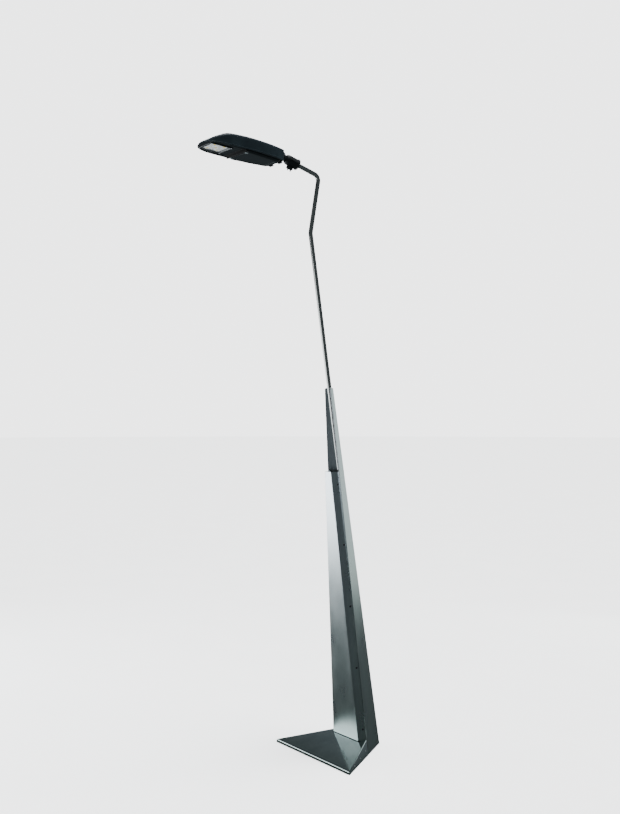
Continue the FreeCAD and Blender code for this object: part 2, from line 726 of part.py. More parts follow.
def make_adapter():
    """The sleeve that clamps on the arm, with the tongue that the head tilts on."""
    turn = Rotation(Vector(1, 0, 0), -90)
    sleeve = ring_body("sleeve_tube", "sleeve_outer", "sleeve_bore", "sleeve_far - sleeve_near", "sleeve_near")
    sleeve.Placement = Placement(Vector(), turn)
    collar = ring_body("sleeve_collar", "sleeve_outer + 5", "sleeve_outer - 1", "7", "sleeve_far - 7")
    collar.Placement = Placement(Vector(), turn)
    front = ring_body("sleeve_front", "sleeve_outer - 6", "16", "8", "sleeve_near - 5")
    front.Placement = Placement(Vector(), turn)
    boss = block("clamp_boss", "9", "sleeve_far - 54", "sleeve_far - 22", "-(sleeve_outer / 2 + 15)",
                 "-(sleeve_outer / 2 - 3)")
    neck = block("adapter_neck", "tongue_half", "0", "sleeve_near", "-13", "13")
    tongue = doc.addObject("Part::Cylinder", "adapter_tongue")
    tongue.setExpression("Radius", formula("knuckle_radius - 1"))
    tongue.setExpression("Height", formula("2 * tongue_half"))
    tongue.Placement = Placement(Vector(-number("tongue_half"), 0, 0), Rotation(Vector(0, 1, 0), 90))
    bore = doc.addObject("Part::Cylinder", "adapter_bore")
    bore.setExpression("Radius", formula("pivot_bolt / 2 + 0.05"))
    bore.Height = 80
    bore.Placement = Placement(Vector(-40, 0, 0), Rotation(Vector(0, 1, 0), 90))
    doc.recompute()
    drills = []
    for i, y in enumerate(("sleeve_far - 46", "sleeve_far - 30")):
        drill = doc.addObject("Part::Cylinder", "set_screw_bore_%d" % i)
        drill.Radius = 3
        drill.Height = 40
        drill.Placement = Placement(Vector(0, number(y), -number("sleeve_outer") / 2 - 20), Rotation())
        drills.append(drill)
    doc.recompute()
    solid = join("adapter_solid", [sleeve, collar, front, boss, neck, tongue])
    tools = join("adapter_drills", [bore] + drills)
    keep(cut("spigot_adapter", solid, tools), "spigot_adapter", arm_frame())
    bush = ring_body("reducer_bush", "sleeve_bore - 0.1", "tube_outer + 0.1", "sleeve_far - sleeve_near - 12",
                     "sleeve_near + 10")
    keep(bush, "reducer_bush", arm_frame().multiply(Placement(Vector(), turn)))
    top = -number("sleeve_bore") / 2
    screw = Part.makeCylinder(2.95, 27, Vector(0, 0, top - 27))
    screw = screw.cut(hexagon(3, 4).translated(Vector(0, 0, top - 27)))
    places = [Placement(Vector(0, number(y), 0), Rotation()) for y in ("sleeve_far - 46", "sleeve_far - 30")]
    keep(feature_of("set_screws", spread(screw, places)), "set_screws", arm_frame())


def make_tilt_bolt():
    """The bolt, washers and nut that clamp the head at its angle."""
    ear = number("tongue_half") + number("ear_thick") + 0.3
    across = Rotation(Vector(0, 0, 1), Vector(1, 0, 0))
    bolt = hexagon(13, 5.3).translated(Vector(0, 0, ear + 1.6))
    bolt = bolt.fuse(Part.makeCylinder(number("pivot_bolt") / 2, 2 * ear + 16, Vector(0, 0, -ear - 14)))
    keep(feature_of("tilt_bolt", bolt.removeSplitter()), "tilt_bolt", arm_frame().multiply(Placement(Vector(), across)))
    rings = [Placement(Vector(0, 0, ear), Rotation()), Placement(Vector(0, 0, -ear - 1.6), Rotation())]
    keep(feature_of("tilt_washers", spread(washer(8.4, 17, 1.6), rings)), "tilt_washers",
         arm_frame().multiply(Placement(Vector(), across)))
    lock = spread(nut(8, 13, 7), [Placement(Vector(0, 0, -ear - 8.6), Rotation())])
    keep(feature_of("tilt_nut", lock), "tilt_nut", arm_frame().multiply(Placement(Vector(), across)))


# ---------------------------------------------------------------- the head

def head_outline(inset):
    """The head's plan: narrow rear, long sides, rounded nose."""
    half = [("rear_half", "head_rear", 1), ("side_half", "130", 0), ("side_half - 2", "330", 0),
            ("nose_half + 36", "head_nose - 46", -0.4), ("nose_half + 14", "head_nose - 15", -0.8),
            ("nose_half - 18", "head_nose", -1)]
    near = [("(%s) - (%s)" % (x, inset), "-(%s + %s * (%s))" % (reach, share, inset)) for x, reach, share in half]
    far = [("-(%s)" % x, y) for x, y in reversed(near)]
    return near + far


def head_form(name, inset, low):
    """The head's outer form, or the hollow in it, moved inwards by inset."""
    body = start_body(name)
    plan = start_sketch(body, name + "_plan", height=low)
    polygon(plan, head_outline(inset))
    pad(body, plan, "90")
    profile = start_sketch(body, name + "_profile", "YZ_Plane")
    crown = [("20", "9"), ("-200", "18"), ("-330", "20"), ("-395", "8"), ("-448", "-30")]
    polygon(profile, [(y, "%s - (%s)" % (z, inset)) for y, z in crown] + [("-448", "80"), ("20", "80")])
    pocket(body, profile)
    return body


def make_head_housing():
    """The cast housing: a hollow shell with cooling fins above and two knuckle ears behind."""
    outer = head_form("housing_outside", "0", "-rim_drop")
    hollow = head_form("housing_inside", "head_wall", "-rim_drop - 5")
    fins = []
    for i in range(-4, 5):
        fin = start_body("fin_%d" % (i + 4))
        side = start_sketch(fin, "fin_%d_side" % (i + 4), "YZ_Plane", "%d * 17 - 1.2" % i)
        polygon(side, [("-210", "14"), ("-225", "23"), ("-328", "24.5"), ("-372", "16"), ("-372", "8"), ("-330", "14")])
        pad(fin, side, "2.4")
        fins.append(fin)
    ears = []
    for side, label in ((1, "near_ear"), (-1, "far_ear")):
        start = "tongue_half + 0.3" if side > 0 else "-(tongue_half + 0.3 + ear_thick)"
        hub = doc.addObject("Part::Cylinder", label + "_hub")
        hub.setExpression("Radius", formula("knuckle_radius"))
        hub.setExpression("Height", formula("ear_thick"))
        hub.Placement = Placement(Vector(number(start), 0, 0), Rotation(Vector(0, 1, 0), 90))
        web = doc.addObject("Part::Box", label + "_web")
        web.setExpression("Length", formula("ear_thick"))
        web.setExpression("Width", formula("head_rear + head_wall"))
        web.Height = 24
        web.Placement = Placement(Vector(number(start), -number("head_rear + head_wall"), -16), Rotation())
        ears += [hub, web]
    doc.recompute()
    bore = doc.addObject("Part::Cylinder", "ear_bore")
    bore.setExpression("Radius", formula("pivot_bolt / 2 + 0.05"))
    bore.Height = 80
    bore.Placement = Placement(Vector(-40, 0, 0), Rotation(Vector(0, 1, 0), 90))
    entry = doc.addObject("Part::Cylinder", "gland_entry")
    entry.Radius = 6
    entry.Height = 20
    entry.Placement = Placement(Vector(48, -number("head_rear") - 15, -14), Rotation(Vector(1, 0, 0), -90))
    doc.recompute()
    shell = cut("housing_shell", outer, hollow)
    solid = join("housing_solid", [shell] + fins + ears)
    keep(cut("head_housing", solid, join("housing_bores", [bore, entry])), "head_housing", head_frame())


def make_light_module():
    """The sealed light module in the nose: carrier, frame, glass, reflector, board and chips."""
    near = "-(window_centre - window_half_y)"
    far = "-(window_centre + window_half_y)"
    carrier = start_body("module_plate_blank")
    outline = start_sketch(carrier, "module_plate_outline", height="-rim_drop + 2")
    polygon(outline, [("-(side_half - 5)", "-module_rear"), ("side_half - 5", "-module_rear"),
                      ("side_half - 9", "-325"), ("nose_half - 4", "-(head_nose - 14)"),
                      ("-(nose_half - 4)", "-(head_nose - 14)"), ("-(side_half - 9)", "-325")])
    pad(carrier, outline, "4")
    opening = start_sketch(carrier, "module_plate_window")
    polygon(opening, rectangle("window_half_x + 1", near + " + 1", far + " - 1"))
    for x, y in frame_screw_points():
        circle(opening, x, y, "4")
    pocket(carrier, opening)
    keep(carrier, "module_plate", head_frame())

    def framed(name, band_out, band_in, low, high, radius, holes=()):
        body = start_body(name)
        sketch = start_sketch(body, name + "_sketch", height=low)
        for x, y in holes:
            circle(sketch, x, y, "4")
        polygon(sketch, rectangle("window_half_x + " + band_out, near + " + " + band_out, far + " - " + band_out))
        polygon(sketch, rectangle("window_half_x - " + band_in, near + " - " + band_in, far + " + " + band_in))
        pad(body, sketch, "(%s) - (%s)" % (high, low))
        half = number("window_half_x + " + band_out)

        def corner(edge):
            ends = [vertex.Point for vertex in edge.Vertexes]
            return len(ends) == 2 and abs(ends[0].z - ends[1].z) > 1 and abs(abs(ends[0].x) - half) < 0.01

        fillet(body, corner, radius)
        return keep(body, name, head_frame())

    framed("window_frame", "frame_band", "1", "-rim_drop - 2.5", "-rim_drop + 1.9", 9, frame_screw_points())
    framed("window_seal", "-1.2", "3.5", "-rim_drop + 0.7", "-rim_drop + 2.7", 2)
    glass = block("window_glass", "window_half_x - 1.2", far + " + 1.2", near + " - 1.2", "-rim_drop - 2",
                  "-rim_drop + 0.6")
    keep(glass, "window_glass", head_frame().multiply(glass.Placement))
    reflector = plate_body("reflector", rectangle("window_half_x", near, far), "-rim_drop + 3", "2",
                           [(x, y, "17") for x, y in chip_centres()])
    keep(reflector, "reflector", head_frame())
    board = block("led_board", "window_half_x - 2", far + " + 2", near + " - 2", "-rim_drop + 5.2", "-rim_drop + 6.8")
    keep(board, "led_board", head_frame().multiply(board.Placement))
    base = Part.makeCylinder(7, 1, Vector(0, 0, -1))
    dome = Part.makeSphere(3.4, Vector(0, 0, -1), Vector(0, 0, -1), 0, 90, 360)
    chip = base.fuse(dome).removeSplitter()
    places = [Placement(Vector(number(x), number(y), number("-rim_drop + 5.2")), Rotation())
              for x, y in chip_centres()]
    keep(feature_of("led_chips", spread(chip, places)), "led_chips", head_frame())
    plate = block("heat_spreader", "window_half_x + 6", far + " - 6", near + " + 6", "-rim_drop + 7", "-rim_drop + 11")
    keep(plate, "heat_spreader", head_frame().multiply(plate.Placement))
    down = Rotation(Vector(1, 0, 0), 180)
    places = [Placement(Vector(number(x), number(y), number("-rim_drop - 2.5")), down)
              for x, y in frame_screw_points()]
    keep(feature_of("frame_screws", spread(button_screw(4, 7, 2, 8), places)), "frame_screws", head_frame())


def frame_screw_points():
    return [("%d * (window_half_x + frame_band / 2)" % sx,
             "-window_centre + %d * (window_half_y + frame_band / 2 - 0.5)" % sy)
            for sx in (-1, 1) for sy in (-1, 1)]


def chip_centres():
    """Five chips: one in the middle and one towards each corner."""
    middle = [("0", "-window_centre")]
    around = [("%d * window_half_x * 0.68" % sx, "-window_centre + %d * window_half_y * 0.52" % sy)
              for sx in (-1, 1) for sy in (-1, 1)]
    return middle + around


def cover_outline(inset):
    return [("-(cover_half_rear - (%s))" % inset, "-(cover_rear + (%s))" % inset),
            ("cover_half_rear - (%s)" % inset, "-(cover_rear + (%s))" % inset),
            ("cover_half_front - (%s)" % inset, "-(cover_front - (%s))" % inset),
            ("-(cover_half_front - (%s))" % inset, "-(cover_front - (%s))" % inset)]


def make_gear_cover():
    """The hinged tray under the head's rear, with sloping sides and two rear knuckles."""
    top = "-rim_drop - 0.6"
    bottom = "-rim_drop - cover_drop"
    outer = loft_body("cover_tray", cover_outline("8"), cover_outline("0"), bottom, top)
    hollow = loft_body("cover_hollow", cover_outline("8 + cover_wall"), cover_outline("cover_wall"),
                       bottom + " + cover_wall", top + " + 0.01")
    tray = cut("cover_shell", outer, hollow)
    lugs = []
    bores = []
    for i, x in enumerate((-44, 34)):
        lug = doc.addObject("Part::Box", "cover_lug_%d" % i)
        lug.Length = 10
        lug.Width = 16
        lug.Height = 8
        lug.Placement = Placement(Vector(x, number("-cover_rear") - 4, number("-rim_drop") - 8.9), Rotation())
        lugs.append(lug)
        barrel = doc.addObject("Part::Cylinder", "cover_barrel_%d" % i)
        barrel.Radius = 4
        barrel.Height = 10
        barrel.Placement = Placement(hinge_point().add(Vector(x, 0, 0)), Rotation(Vector(0, 1, 0), 90))
        lugs.append(barrel)
        bore = doc.addObject("Part::Cylinder", "cover_bore_%d" % i)
        bore.Radius = 2.05
        bore.Height = 12
        bore.Placement = Placement(hinge_point().add(Vector(x - 1, 0, 0)), Rotation(Vector(0, 1, 0), 90))
        bores.append(bore)
    doc.recompute()
    solid = join("cover_solid", [tray] + lugs)
    keep(cut("gear_cover", solid, join("cover_bores", bores)), "gear_cover", head_frame())


def hinge_point():
    """The gear cover's hinge axis, just below the rear of the head."""
    return Vector(0, -number("head_rear") - 0.5, -number("rim_drop") - 4.4)


def make_cover_hinge():
    """The brackets under the housing that carry the hinge pins, and the pins."""
    brackets = []
    pins = []
    for x in (-52.4, -33.6, 25.6, 44.4):
        plate = Part.makeBox(8, 8, 4.4, hinge_point().add(Vector(x, -4, 0)))
        barrel = Part.makeCylinder(4, 8, hinge_point().add(Vector(x, 0, 0)), Vector(1, 0, 0))
        bore = Part.makeCylinder(2, 8, hinge_point().add(Vector(x, 0, 0)), Vector(1, 0, 0))
        brackets.append(plate.fuse(barrel).cut(bore).removeSplitter())
    for x in (-52, 26):
        pins.append(Part.makeCylinder(2, 26, hinge_point().add(Vector(x, 0, 0)), Vector(1, 0, 0)))
    keep(feature_of("hinge_brackets", Part.makeCompound(brackets)), "hinge_brackets", head_frame())
    keep(feature_of("hinge_pins", Part.makeCompound(pins)), "hinge_pins", head_frame())


def make_cover_clips():
    """Two spring clips on the front corners of the gear cover, which snap under the module."""
    clips = []
    for side in (-1, 1):
        middle = side * (number("cover_half_front") - 26)
        low = -number("rim_drop") - number("cover_drop")
        front = -number("cover_front")
        tab = Part.makeBox(16, 22, 1.6, Vector(middle - 8, front - 10, low - 1.7))
        heel = Part.makeBox(16, 1.6, 7, Vector(middle - 8, front - 2.4, low - 0.2))
        rivet = Part.makeSphere(2.4, Vector(middle, front + 9.6, low - 1.7), Vector(0, 0, -1), 0, 90, 360)
        clips.append(tab.fuse([heel, rivet]).removeSplitter())
    keep(feature_of("cover_clips", Part.makeCompound(clips)), "cover_clips", head_frame())


def make_gear():
    """What the rear of the head holds: seal, tray, driver, surge protector, terminals and gland."""
    seal = start_body("cover_seal")
    sketch = start_sketch(seal, "cover_seal_sketch", height="-rim_drop - 0.5")
    polygon(sketch, cover_outline("0.5"))
    polygon(sketch, cover_outline("6.5"))
    pad(seal, sketch, "2")
    keep(seal, "cover_seal", head_frame())
    lands = start_body("seal_land")
    sketch = start_sketch(lands, "seal_land_sketch", height="-rim_drop + 1.6")
    polygon(sketch, [("-(rear_half - 5)", "-(head_rear + 4)"), ("rear_half - 5", "-(head_rear + 4)"),
                     ("side_half - 6", "-130"), ("side_half - 6", "-(module_rear - 2)"),
                     ("-(side_half - 6)", "-(module_rear - 2)"), ("-(side_half - 6)", "-130")])
    polygon(sketch, cover_outline("9"))
    pad(lands, sketch, "2.5")
    keep(lands, "seal_land", head_frame())
    parts = [("gear_tray", "56", "-226", "-48", "-14", "-12"), ("led_driver", "34", "-222", "-100", "-36", "-14.1"),
             ("head_terminals", "22", "-92", "-74", "-30", "-14.1"),
             ("surge_protector", "20", "-70", "-50", "-34", "-14.1")]
    for label, half, near, far, low, high in parts:
        item = block(label, half, near, far, low, high)
        keep(item, label, head_frame().multiply(item.Placement))
    gland = turned_body("head_gland", [("3.5", "-16"), ("7", "-16"), ("8", "-8"), ("10", "-7"), ("10", "-0.1"),
                                       ("6", "-0.1"), ("6", "9"), ("3.5", "9")])
    place = Placement(Vector(48, -number("head_rear"), -14), Rotation(Vector(1, 0, 0), 90))
    keep(gland, "head_gland", head_frame().multiply(place))
    vent = turned_body("pressure_vent", [("0", "0"), ("7", "0"), ("7", "4"), ("5", "5.5"), ("0", "5.5")])
    place = Placement(Vector(-48, -number("head_rear"), -14), Rotation(Vector(1, 0, 0), -90))
    keep(vent, "pressure_vent", head_frame().multiply(place))


# ---------------------------------------------------------------- build, check and write

for maker in (make_ground_plate, make_rear_shell, make_foot_cover, make_gussets, make_diaphragms, make_door,
              make_door_rails, make_door_fasteners, make_foot_fasteners, make_equipment, make_mast_tube,
              make_mast_fixings, make_adapter, make_tilt_bolt, make_head_housing,
              make_light_module, make_gear_cover, make_cover_hinge, make_cover_clips, make_gear):
    maker()
doc.recompute()

faults = ["%s: %s" % (item.Name, item.State) for item in doc.Objects
          if "Invalid" in item.State or "Error" in item.State]
for node in nodes:
    if node.Shape.isNull() or not node.Shape.isValid() or node.Shape.Volume < 1:
        faults.append(node.Label + " has no valid solid")
if faults:
    raise RuntimeError("; ".join(faults))

os.makedirs("parts", exist_ok=True)
for node in nodes:
    node.Shape.exportStep("parts/%s.step" % node.Label)
for name, place in (("tilt pivot", head_frame().Base), ("hinge", head_frame().multVec(hinge_point()))):
    print(name, [round(value / 1000, 6) for value in place])
print("head up", [round(v, 6) for v in head_frame().Rotation.multVec(Vector(0, 0, 1))])
print(len(nodes), "sub-parts")
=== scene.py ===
"""Street lamp post: the looks of a folded steel post, its thin bent mast and its tilting LED head.

Run as a script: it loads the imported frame, models the visible pieces over it and gives every piece its
finish. Lengths are metres in the part's own frame: x across the foot, -y to the front, z up.
"""

import json
import math

import bmesh
import bpy
from bpy.props import FloatProperty, FloatVectorProperty, IntProperty, PointerProperty
from mathutils import Matrix, Vector


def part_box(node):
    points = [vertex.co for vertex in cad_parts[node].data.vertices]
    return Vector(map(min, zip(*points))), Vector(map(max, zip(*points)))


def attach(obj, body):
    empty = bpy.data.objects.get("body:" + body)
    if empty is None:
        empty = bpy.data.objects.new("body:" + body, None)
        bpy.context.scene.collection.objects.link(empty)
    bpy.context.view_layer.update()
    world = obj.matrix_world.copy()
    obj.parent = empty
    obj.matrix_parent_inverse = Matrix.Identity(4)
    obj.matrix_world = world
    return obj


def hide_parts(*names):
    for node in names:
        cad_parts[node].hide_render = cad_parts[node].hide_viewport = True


bl_info = {
    "name": "Street lamp post",
    "version": (1, 0, 0),
    "blender": (4, 5, 0),
    "location": "3D View > Sidebar > Lamp post",
    "description": "Models and finishes a folded steel street lamp post with a tilting LED head",
    "category": "Object",
}

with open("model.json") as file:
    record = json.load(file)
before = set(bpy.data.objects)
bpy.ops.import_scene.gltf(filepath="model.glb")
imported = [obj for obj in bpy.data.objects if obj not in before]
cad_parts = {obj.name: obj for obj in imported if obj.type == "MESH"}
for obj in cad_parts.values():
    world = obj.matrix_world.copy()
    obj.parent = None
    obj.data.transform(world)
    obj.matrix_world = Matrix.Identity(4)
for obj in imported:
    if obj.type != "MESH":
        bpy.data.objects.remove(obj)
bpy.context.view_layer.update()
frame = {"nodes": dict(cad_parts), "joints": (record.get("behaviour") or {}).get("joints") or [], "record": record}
JOINTS = {joint["name"]: joint for joint in frame["joints"]}
SLOT_OF = {part["node"]: part["material_slot"] for part in frame["record"]["subparts"]}
PIVOT = Vector(JOINTS["head_tilt"]["pos_m"])
HINGE = Vector(JOINTS["gear_cover_hinge"]["pos_m"])
FRONT = -0.160
FOOT_HALF = 0.320
FOOT_DEPTH = 0.427
LEAN = 0.1605
LIP_RISE = 0.015
APRON_SLOPE = 0.255
WING_TOP_HALF = 0.026
DOOR_FOOT_Y = 0.2095 + FRONT
DOOR_TOP_HALF = 0.026
DOOR_OUT = 0.012
DOOR_BACK = 0.042
SHEET = 0.003
WINDOW_CENTRE = -0.356
FRAME_LOW = -0.0455
CARRIER_LOW = -0.0411
CLIP_X = 0.070
NOSE_POWER = 2 / 2.45
HEAD_TILT = math.radians(5.5)
ARM_TILT = math.atan(0.325)
FLAT_AREA = 0.0045


def tilted(angle):
    """The frame at the tilt pivot whose -y axis rises forwards by angle."""
    return Matrix.Translation(PIVOT) @ Matrix.Rotation(-angle, 4, "X")


HEAD = tilted(HEAD_TILT)
ARM = tilted(ARM_TILT)
ACROSS = Matrix.Rotation(math.pi / 2, 4, "Y")
BACKWARDS = Matrix.Rotation(-math.pi / 2, 4, "X")


# ---------------------------------------------------------------- settings


def length(name, about, value):
    """A setting in metres."""
    return FloatProperty(name=name, description=about, default=value, unit="LENGTH")


def tint(name, about, value):
    """A colour setting."""
    return FloatVectorProperty(name=name, description=about, default=value, size=3, subtype="COLOR")


class PostSettings(bpy.types.PropertyGroup):
    """Sizes of the folded post and its foot."""

    shell_bend: length("Shell bend", "Set-back of the rear fold", 0.006)
    door_bend: length("Door bend", "Set-back of the door's two folds", 0.0032)
    apron_bend: length("Apron bend", "Set-back of the apron's folds", 0.0038)
    sheet_edge: length("Sheet edge", "Rounding of cut sheet edges", 0.0004)
    tube_sides: IntProperty(name="Tube sides", description="Facets round the mast", default=48, min=12)


class HeadSettings(bpy.types.PropertyGroup):
    """Sizes of the lamp head's castings."""

    shoulder: length("Shoulder", "Rounding between the head's sides and crown", 0.013)
    wall: length("Wall", "Wall of the housing", 0.003)
    fin_count: IntProperty(name="Fins", description="Cooling fins on the crown", default=9, min=1)
    fin_pitch: length("Fin pitch", "Spacing of the cooling fins", 0.017)
    lid_corner: length("Lid corner", "Corner rounding of the gear lid", 0.014)


class ColourSettings(bpy.types.PropertyGroup):
    """Base colours of the main finishes."""

    steel: tint("Steel", "Brushed stainless sheet", (0.70, 0.74, 0.77))
    # Painted shade: the darker colour the steel sheet takes towards its foot, standing in for a dark reflection.
    steel_painted_shade: tint("Steel at the foot", "The same sheet where painted shade darkens it", (0.33, 0.39, 0.36))
    apron: tint("Apron", "Polished sheet of the foot", (0.84, 0.90, 0.94))
    mast: tint("Mast", "Bright tube of the mast", (0.42, 0.43, 0.42))
    coat: tint("Powder coat", "Anthracite coat of the head", (0.010, 0.016, 0.020))


class StudioSettings(bpy.types.PropertyGroup):
    """The studio round the lamp."""

    camera_place: FloatVectorProperty(
        name="Camera",
        description="Where the camera stands",
        default=(4.531, -3.259, 1.728),
        size=3,
        subtype="XYZ",
    )
    camera_turn: FloatProperty(
        name="Camera turn",
        description="Camera's turn from looking along +y",
        default=math.radians(55.69),
        unit="ROTATION",
    )
    lens: FloatProperty(name="Lens", description="Focal length", default=49.27, unit="CAMERA")
    sky: FloatProperty(name="Sky", description="Strength of the even light on the lamp", default=0.12)
    backdrop: FloatProperty(name="Backdrop", description="Brightness behind the lamp", default=3.5)
    sun: FloatProperty(name="Overhead light", description="Strength of the overhead light", default=11.5)
    floor_radius: length("Floor", "Radius of the floor", 60.0)


# ---------------------------------------------------------------- mesh helpers


def soften(bm, edges, width, steps=2):
    """Rounds edges."""
    bmesh.ops.bevel(
        bm,
        geom=list(edges),
        offset=width,
        offset_type="OFFSET",
        affect="EDGES",
        segments=steps,
        profile=0.5,
        clamp_overlap=True,
        material=-1,
    )


def folds(bm, limit=math.radians(50)):
    """The edges whose faces turn by more than limit."""
    return [edge for edge in bm.edges if edge.is_manifold and edge.calc_face_angle(0) > limit]


def slab(bm, low, high, place, soft=0.001):
    """A block between two corners of a local frame, its edges rounded."""
    low, high = Vector(low), Vector(high)
    size = Matrix.Diagonal(high - low).to_4x4()
    made = bmesh.ops.create_cube(bm, size=1, matrix=place @ Matrix.Translation((low + high) / 2) @ size)
    soften(bm, {edge for vert in made["verts"] for edge in vert.link_edges}, soft)


def drum(bm, radius, low, high, place, steps=32, soft=0.001, tip=None):
    """A round or many-sided solid along the z axis of a local frame, its rims rounded."""
    made = bmesh.ops.create_cone(
        bm,
        cap_ends=True,
        segments=steps,
        radius1=radius,
        radius2=radius if tip is None else tip,
        depth=high - low,
        matrix=place @ Matrix.Translation((0, 0, (low + high) / 2)),
    )
    verts = set(made["verts"])
    caps = [face for vert in verts for face in vert.link_faces if len(face.verts) == steps]
    soften(bm, {edge for face in caps for edge in face.edges}, soft)


def spun(bm, verts, edges, steps):
    """Turns a profile full circle about the z axis."""
    bmesh.ops.spin(
        bm, geom=verts + edges, cent=(0, 0, 0), axis=(0, 0, 1), angle=2 * math.pi, steps=steps, use_merge=True
    )


def turned(bm, profile, place, steps=40):
    """A solid of revolution about the z axis of a local frame; the profile is (radius, height) pairs."""
    before = set(bm.verts)
    verts = [bm.verts.new((radius, 0, height)) for radius, height in profile]
    edges = [bm.edges.new(pair) for pair in zip(verts, verts[1:])]
    if profile[0][0] > 0:
        edges.append(bm.edges.new((verts[-1], verts[0])))
    spun(bm, verts, edges, steps)
    fresh = [vert for vert in bm.verts if vert not in before]
    bmesh.ops.transform(bm, matrix=place, verts=fresh)
    bmesh.ops.remove_doubles(bm, verts=fresh, dist=1e-6)


def round_corners(bm, verts, radius, steps):
    """Rounds flat faces at some of their vertices."""
    bmesh.ops.bevel(
        bm,
        geom=verts,
        offset=radius,
        offset_type="OFFSET",
        affect="VERTICES",
        segments=steps,
        profile=0.5,
        clamp_overlap=True,
        material=-1,
    )


def rounded_face(bm, corners, radius, steps=6):
    """A flat face with rounded corners."""
    face = bm.faces.new([bm.verts.new(corner) for corner in corners])
    before = set(bm.verts) - set(face.verts)
    round_corners(bm, face.verts[:], radius, steps)
    return [vert for vert in bm.verts if vert not in before]


def rim_of(bm, verts):
    """The edges between the given vertices that bound at most one face."""
    inside = set(verts)
    return [edge for edge in bm.edges if len(edge.link_faces) < 2 and inside.issuperset(edge.verts)]


def raised(bm, edges, move):
    """Extrudes edges and moves the new vertices by a function of their place."""
    made = bmesh.ops.extrude_edge_only(bm, edges=edges)["geom"]
    verts = [item for item in made if isinstance(item, bmesh.types.BMVert)]
    for vert in verts:
        vert.co = move(vert.co)
    return verts, [item for item in made if isinstance(item, bmesh.types.BMEdge)]


def folded_sheet(low, high, bend, thick, edge, corner=0.0):
    """A sheet between two open outlines, its folds and upper corners rounded, thickened inwards."""
    bm = bmesh.new()
    rows = [[bm.verts.new(point) for point in line] for line in (low, high)]
    for i in range(len(low) - 1):
        bm.faces.new((rows[0][i], rows[0][i + 1], rows[1][i + 1], rows[1][i]))
    soften(bm, [item for item in bm.edges if len(item.link_faces) == 2], bend, 6)
    if corner:
        round_corners(bm, [rows[1][0], rows[1][-1]], corner, 5)
    thicken(bm, thick, edge)
    return bm


def look_along(bm, way):
    """Makes an open skin's faces agree and look, on the whole, along a direction."""
    bmesh.ops.recalc_face_normals(bm, faces=bm.faces[:])
    if sum(face.normal.dot(Vector(way)) * face.calc_area() for face in bm.faces) < 0:
        bmesh.ops.reverse_faces(bm, faces=bm.faces[:])


def thicken(bm, thick, edge):
    """Gives an outside skin its sheet thickness and rounds the cut edges."""
    bmesh.ops.solidify(bm, geom=bm.faces[:], thickness=thick)
    bmesh.ops.recalc_face_normals(bm, faces=bm.faces[:])
    soften(bm, folds(bm, math.radians(60)), edge)
    for vert in bm.verts:
        vert.co.z = max(vert.co.z, 0.0)


def piece(bm, name, body, nodes, slot, finish=None, limit=math.radians(38)):
    """Makes a bmesh a finished piece that rides on a body and stands for CAD nodes."""
    bmesh.ops.recalc_face_normals(bm, faces=bm.faces[:])
    for face in bm.faces:
        face.smooth = face.calc_area() < FLAT_AREA
    for edge in bm.edges:
        edge.smooth = not (edge.is_manifold and edge.calc_face_angle(0) > limit)
    mesh = bpy.data.meshes.new(name)
    bm.to_mesh(mesh)
    bm.free()
    mesh.materials.append(FINISHES[finish or slot])
    item = bpy.data.objects.new(name, mesh)
    bpy.context.scene.collection.objects.link(item)
    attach(item, body)
    if nodes:
        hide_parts(*nodes)
    return item


# ---------------------------------------------------------------- finishes

FINISHES = {}


class Maker:
    """Builds one material's nodes."""

    def __init__(self, name):
        self.material = bpy.data.materials.new(name)
        self.material.use_nodes = True
        self.tree = self.material.node_tree
        self.shader = self.tree.nodes["Principled BSDF"]
        self.place = self.add("ShaderNodeTexCoord").outputs["Object"]
        FINISHES[name] = self.material

    def add(self, kind, links=(), **settings):
        node = self.tree.nodes.new(kind)
        for key, value in settings.items():
            setattr(node, key, value)
        for socket, value in dict(links).items():
            self.set(node.inputs[socket], value)
        return node

    def set(self, socket, value):
        if isinstance(value, bpy.types.NodeSocket):
            self.tree.links.new(value, socket)
        else:
            socket.default_value = value

    def noise(self, stretch, detail=4.0, rough=0.55):
        """Noise whose cells are 1 / stretch metres along each axis."""
        scaled = self.add("ShaderNodeMapping", {"Vector": self.place, "Scale": stretch})
        inputs = {"Vector": scaled.outputs[0], "Scale": 1.0, "Detail": detail, "Roughness": rough}
        return self.add("ShaderNodeTexNoise", inputs).outputs["Fac"]

    def cells(self, stretch):
        """Flat-shaded cells, such as zinc spangle."""
        scaled = self.add("ShaderNodeMapping", {"Vector": self.place, "Scale": stretch})
        found = self.add("ShaderNodeTexVoronoi", {"Vector": scaled.outputs[0], "Scale": 1.0})
        return self.add("ShaderNodeSeparateColor", {0: found.outputs["Color"]}).outputs[0]

    def ramp(self, factor, low, high, start=0.3, end=0.7):
        """A colour between low and high."""
        node = self.add("ShaderNodeValToRGB", {"Fac": factor})
        for element, at, colour in zip(node.color_ramp.elements, (start, end), (low, high)):
            element.position = at
            element.color = (*colour, 1.0)
        return node.outputs["Color"]

    def span(self, factor, low, high, start=0.3, end=0.7):
        """A number between low and high."""
        return self.add(
            "ShaderNodeMapRange",
            {"Value": factor, "From Min": start, "From Max": end, "To Min": low, "To Max": high},
        ).outputs["Result"]

    def mixed(self, factor, first, second, mode="MIX"):
        node = self.add("ShaderNodeMix", data_type="RGBA", blend_type=mode)
        self.set(node.inputs["Factor"], factor)
        self.set(node.inputs[6], first)
        self.set(node.inputs[7], second)
        return node.outputs[2]

    def height(self, heights, depth, strength=1.0):
        """Bumps the surface by a height."""
        bump = self.add("ShaderNodeBump", {"Height": heights, "Distance": depth, "Strength": strength})
        self.set(self.shader.inputs["Normal"], bump.outputs["Normal"])

    def fill(self, **values):
        for name, value in values.items():
            self.set(self.shader.inputs[name.replace("_", " ")], value)


def shade(colour, by):
    """The colour made lighter or darker."""
    return tuple(min(1.0, channel * by) for channel in colour)


